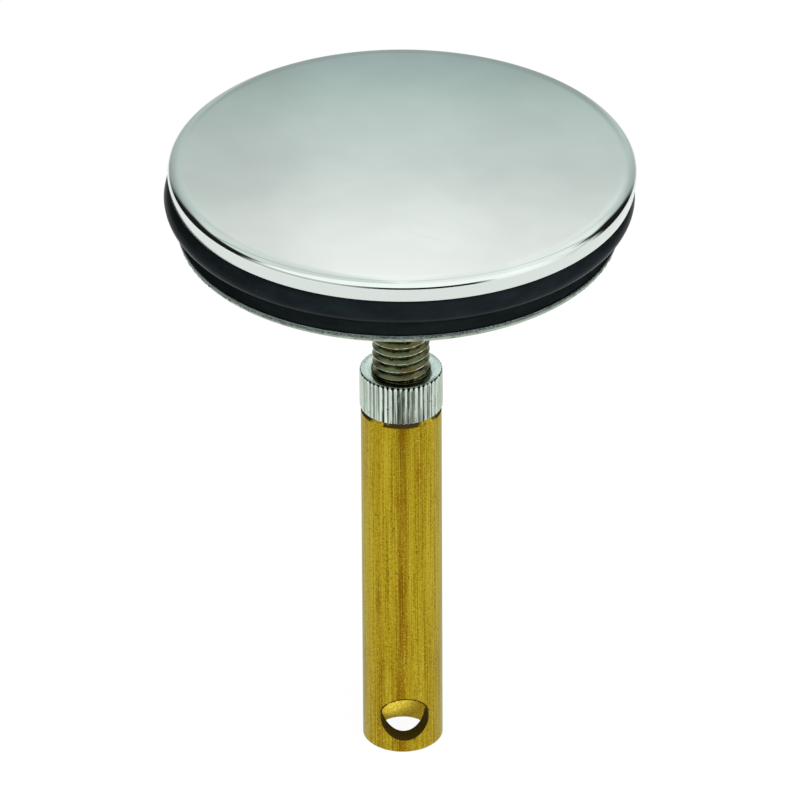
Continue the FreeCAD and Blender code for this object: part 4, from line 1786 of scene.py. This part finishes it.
@dataclass
class Studio:
    """Plain pale floor, a soft light overhead that fades towards the horizon, and the camera.

    Attributes:
        aim: Point that the camera looks at, in mm.
        distance: Camera's distance from target, in mm.
        target: Point that the distance and angles are taken from, in mm.
        elevation: Camera's angle above the horizon, in degrees.
        azimuth: Camera's angle round the part, in degrees.
        roll: Camera's tilt about its own axis, in degrees.
        lens: Focal length, in mm.
        sensor: Width of the sensor, in mm.
        sight: How far the camera sees, in metres.
        floor_size: Sides of the floor, in metres.
        floor_middle: Middle of the floor, in metres.
        floor_glow: Share of white that the floor shows even in shadow.
        floor_pale: Colour that the floor sends back to the part.
        floor_faint: Colour that carries the part's shadow.
        full_light: Brightness overhead.
        lamp_place: Place of the small lamp beside the camera, in mm.
        lamp_aim: Point that it shines at, in mm.
        lamp_size: Side of that lamp, in metres.
        lamp_power: Its power in watts.
        backdrop: Brightness of the backdrop near the horizon, as a share of the full light.
        seam_slope: Slope of the dark seam overhead, in degrees.
        high_left: Light high on the left, as a share of the full light.
        high_right: Light high on the right.
        front_top: Light overhead in front.
        sky: Light straight behind by height above the horizon.
        sides: Light to both sides by angle from straight behind.
    """

    aim: Vector = field(default_factory=lambda: Vector((-0.16, 0.0, 53.6)))
    target: Vector = field(default_factory=lambda: Vector((0.0, 0.0, 45.0)))
    distance: float = 1500.0
    elevation: float = 31.66
    azimuth: float = -3.2
    roll: float = -0.3
    lens: float = 495.5
    sensor: float = 36.0
    sight: float = 20.0
    floor_size: Vector = field(default_factory=lambda: Vector((1.0, 3.5, 1.0)))
    floor_middle: Vector = field(default_factory=lambda: Vector((-0.15, 1.2, 0.0)))
    floor_glow: float = 0.95
    floor_pale: Colour = tint(230, 230, 230)
    floor_faint: Colour = tint(72, 72, 72)
    full_light: float = 1.3
    lamp_place: Vector = field(default_factory=lambda: Vector((190.0, -960.0, 110.0)))
    lamp_aim: Vector = field(default_factory=lambda: Vector((0.0, 0.0, 30.0)))
    lamp_size: float = 0.25
    lamp_power: float = 8.0
    backdrop: Colour = (0.305, 0.345, 0.34, 1.0)
    seam_slope: float = 62.0
    high_left: Colour = (0.64, 0.67, 0.655, 1.0)
    high_right: Colour = (0.82, 0.83, 0.82, 1.0)
    front_top: Colour = (0.93, 0.94, 0.935, 1.0)
    sky: tuple[SkyStop, ...] = (
        SkyStop(-90.0, (0.010, 0.011, 0.011, 1.0)),
        SkyStop(12.0, DARK_ROOM),
        SkyStop(19.0, (0.10, 0.12, 0.12, 1.0)),
        SkyStop(26.5, (0.34, 0.405, 0.41, 1.0)),
        SkyStop(27.4, (0.405, 0.475, 0.46, 1.0)),
        SkyStop(28.4, (0.495, 0.555, 0.545, 1.0)),
        SkyStop(29.4, (0.55, 0.595, 0.585, 1.0)),
        SkyStop(30.4, (0.58, 0.615, 0.61, 1.0)),
        SkyStop(31.5, (0.63, 0.655, 0.65, 1.0)),
        SkyStop(32.5, (0.72, 0.74, 0.73, 1.0)),
        SkyStop(33.4, (0.805, 0.795, 0.79, 1.0)),
        SkyStop(35.1, (0.895, 0.87, 0.865, 1.0)),
        SkyStop(37.2, (0.925, 0.91, 0.90, 1.0)),
        SkyStop(60.0, (0.90, 0.90, 0.89, 1.0)),
    )
    sides: tuple[SkyStop, ...] = (
        SkyStop(-46.0, DARK_ROOM),
        SkyStop(-41.0, (0.17, 0.185, 0.18, 1.0)),
        SkyStop(-35.0, (0.31, 0.34, 0.335, 1.0)),
        SkyStop(-25.0, (0.42, 0.46, 0.45, 1.0)),
        SkyStop(-13.5, (0.49, 0.545, 0.53, 1.0)),
        SkyStop(-5.0, (0.55, 0.605, 0.59, 1.0)),
        SkyStop(6.0, (0.64, 0.70, 0.685, 1.0)),
        SkyStop(12.0, (0.58, 0.635, 0.62, 1.0)),
        SkyStop(20.0, (0.525, 0.575, 0.56, 1.0)),
        SkyStop(38.0, (0.42, 0.465, 0.45, 1.0)),
        SkyStop(43.0, (0.21, 0.235, 0.23, 1.0)),
        SkyStop(48.0, DARK_ROOM),
        SkyStop(74.0, DARK_ROOM),
        SkyStop(84.0, (0.9, 0.92, 0.91, 1.0)),
    )

    def lay_floor(self) -> None:
        """Lay the floor: white to the camera and in reflections, pale to the light, with a faint shadow."""
        Bench.clear()
        bpy.ops.mesh.primitive_plane_add(size=1.0, location=self.floor_middle)
        bpy.ops.transform.resize(value=self.floor_size)
        floor = Bench.adopt("studio_floor")
        material = bpy.data.materials.new("studio_floor_white")
        material.use_nodes = True
        material.cycles.emission_sampling = "NONE"
        material.node_tree.nodes.clear()
        graph = Graph(material.node_tree)
        path = graph.add("ShaderNodeLightPath").outputs
        seen = graph.math("MAXIMUM", path["Is Camera Ray"],
                          graph.math("MAXIMUM", path["Is Glossy Ray"], path["Is Transmission Ray"]))
        pale = graph.add("ShaderNodeBsdfDiffuse", {"Color": self.floor_pale})
        faint = graph.add("ShaderNodeBsdfDiffuse", {"Color": self.floor_faint})
        glow = graph.add("ShaderNodeEmission", {"Color": WHITE, "Strength": self.floor_glow})
        white = graph.add("ShaderNodeAddShader", {0: faint.outputs[0], 1: glow.outputs[0]})
        shown = graph.add("ShaderNodeMixShader", {0: seen, 1: pale.outputs[0], 2: white.outputs[0]})
        graph.add("ShaderNodeOutputMaterial", {"Surface": shown.outputs[0]})
        floor.data.materials.append(material)

    def light(self) -> None:
        """Light the studio from behind, overhead and the front, all white to the camera."""
        world = bpy.data.worlds.new("studio")
        world.use_nodes = True
        world.node_tree.nodes.clear()
        graph = Graph(world.node_tree)
        direction = graph.add("ShaderNodeTexCoord").outputs["Generated"]
        to_camera = {"Vector": direction, "Angle": -math.radians(self.azimuth)}
        facing = graph.add("ShaderNodeVectorRotate", to_camera, rotation_type="Z_AXIS").outputs[0]
        aside, behind, up = graph.add("ShaderNodeSeparateXYZ", {0: facing}).outputs
        turn = graph.math("ARCTAN2", aside, behind)
        in_front = graph.ease(graph.unsigned(turn), math.radians(98), math.radians(112))
        light = graph.mix(in_front, self.rear_light(graph, aside, turn, up),
                          self.front_light(graph, aside, behind, up))
        slope = math.radians(self.seam_slope)
        over = graph.minus(graph.times(up, math.cos(slope)), graph.times(behind, math.sin(slope)))
        seam = graph.times(graph.ease(graph.unsigned(over), 0.05, 0.02),
                           graph.ease(graph.unsigned(aside), 0.1, 0.8, 0.3, 0.5))
        light = graph.mix(seam, light, DARK_ROOM)
        soft = graph.add("ShaderNodeBackground", {0: light, 1: self.full_light})
        white = graph.add("ShaderNodeBackground", {0: WHITE, 1: 1.0})
        camera_ray = graph.add("ShaderNodeLightPath").outputs["Is Camera Ray"]
        shown = graph.add("ShaderNodeMixShader", {0: camera_ray, 1: soft.outputs[0], 2: white.outputs[0]})
        graph.add("ShaderNodeOutputWorld", {"Surface": shown.outputs[0]})
        bpy.context.scene.world = world

    def rear_light(self, graph: Graph, aside: Socket, turn: Socket, up: Socket) -> Socket:
        """Light from behind: a sky that grows bright overhead, walls to both sides and a grey backdrop.

        Args:
            graph: Canvas of the world.
            aside: Direction's part to the right.
            turn: Angle from straight behind to the right, in radians.
            up: Direction's part upwards.

        Returns:
            The light's colour.
        """
        height = graph.plus(graph.times(up, 0.5), 0.5)
        fade = self.ramp(graph, height, [(0.5 + 0.5 * math.sin(math.radians(stop.angle)), stop.colour)
                                         for stop in self.sky])
        place = graph.plus(graph.times(turn, 0.5 / math.pi), 0.5)
        wall = self.ramp(graph, place, [(0.5 + stop.angle / 360, stop.colour) for stop in self.sides])
        uneven = graph.plus(graph.ease(aside, -0.008, -0.038, 0.0, 0.175),
                            graph.ease(aside, 0.01, 0.04, 0.0, 0.08))
        overhead = graph.mix(uneven, fade, BLACK)
        low_wall = graph.mix(graph.ease(up, 0.57, 0.455, 0.0, 0.15), wall, BLACK)
        high_wall = graph.mix(graph.ease(turn, math.radians(-20), math.radians(20)),
                              self.high_left, self.high_right)
        side = graph.mix(graph.ease(up, 0.58, 0.7), low_wall, high_wall)
        beside = graph.plus(graph.ease(turn, math.radians(-2), math.radians(-8)),
                            graph.ease(turn, math.radians(2), math.radians(15)))
        around = graph.mix(beside, overhead, side)
        round_to = graph.unsigned(turn)
        sheet = graph.mix(graph.ease(round_to, math.radians(48), math.radians(32)), BLACK, self.backdrop)
        return graph.add("ShaderNodeMix", {0: 1.0, 6: around, 7: sheet}, data_type="RGBA",
                         blend_type="LIGHTEN").outputs[2]

    @staticmethod
    def ramp(graph: Graph, place: Socket, stops: list[tuple[float, Colour]]) -> Socket:
        """Colour along a ramp.

        Args:
            graph: Canvas of the world.
            place: Place along the ramp, from 0 to 1.
            stops: Places and their colours, in order.

        Returns:
            The colour.
        """
        node = graph.add("ShaderNodeValToRGB", {0: place})
        marks = node.color_ramp.elements
        while len(marks) < len(stops):
            marks.new(0.5)
        for mark, (position, colour) in zip(marks, stops):
            mark.position = position
            mark.color = colour
        return node.outputs[0]

    def front_light(self, graph: Graph, aside: Socket, behind: Socket, up: Socket) -> Socket:
        """Light from the front: white, with a dark room low down that is lighter to the right.

        Args:
            graph: Canvas of the world.
            aside: Direction's part to the right.
            behind: Direction's part to the back.
            up: Direction's part upwards.

        Returns:
            The light's colour.
        """
        turn = graph.math("ARCTAN2", aside, graph.times(behind, -1.0))
        wide = graph.times(graph.ease(turn, math.radians(32), math.radians(46), 1.0, 0.1),
                           graph.ease(turn, math.radians(-34), math.radians(-6), 0.5, 1.0))
        low = graph.times(graph.ease(up, 0.42, 0.32), wide)
        high = graph.mix(graph.ease(up, 0.42, 0.7), WHITE, self.front_top)
        return graph.mix(low, high, DARK_ROOM)

    def place_lamp(self) -> None:
        """Place a small soft lamp beside the camera, which shows on dull surfaces only."""
        light = bpy.data.lights.new("front_lamp", "AREA")
        light.energy = self.lamp_power
        light.size = self.lamp_size
        lamp = bpy.data.objects.new("front_lamp", light)
        lamp.location = self.lamp_place * MM
        lamp.rotation_mode = "QUATERNION"
        lamp.rotation_quaternion = (self.lamp_aim - self.lamp_place).to_track_quat("-Z", "Y")
        lamp.visible_glossy = False
        bpy.context.scene.collection.objects.link(lamp)

    def place_camera(self) -> None:
        """Place the camera at the photographed angle."""
        turn, rise = math.radians(self.azimuth), math.radians(self.elevation)
        back = Vector((math.sin(turn) * math.cos(rise), -math.cos(turn) * math.cos(rise), math.sin(rise)))
        place = self.target + back * self.distance
        lens = bpy.data.cameras.new("camera")
        lens.lens = self.lens
        lens.sensor_width = self.sensor
        lens.clip_end = self.sight
        camera = bpy.data.objects.new("camera", lens)
        camera.location = place * MM
        camera.rotation_mode = "QUATERNION"
        tilt = Quaternion((0.0, 0.0, 1.0), math.radians(self.roll))
        camera.rotation_quaternion = (self.aim - place).to_track_quat("-Z", "Y") @ tilt
        bpy.context.scene.collection.objects.link(camera)
        bpy.context.scene.camera = camera

    def set_up(self) -> None:
        """Lay the floor, light it and place the camera."""
        self.lay_floor()
        self.light()
        self.place_lamp()
        self.place_camera()
        bpy.context.scene.view_settings.view_transform = "Standard"


def main() -> None:
    """Build the stopper from the stem up, then the studio."""
    logging.basicConfig(level=logging.INFO, format="%(name)s: %(message)s")
    Stem().assemble()
    LockNut().assemble()
    PlugHead().assemble()
    Seal().assemble()
    Studio().set_up()


if __name__ == "__main__":
    main()
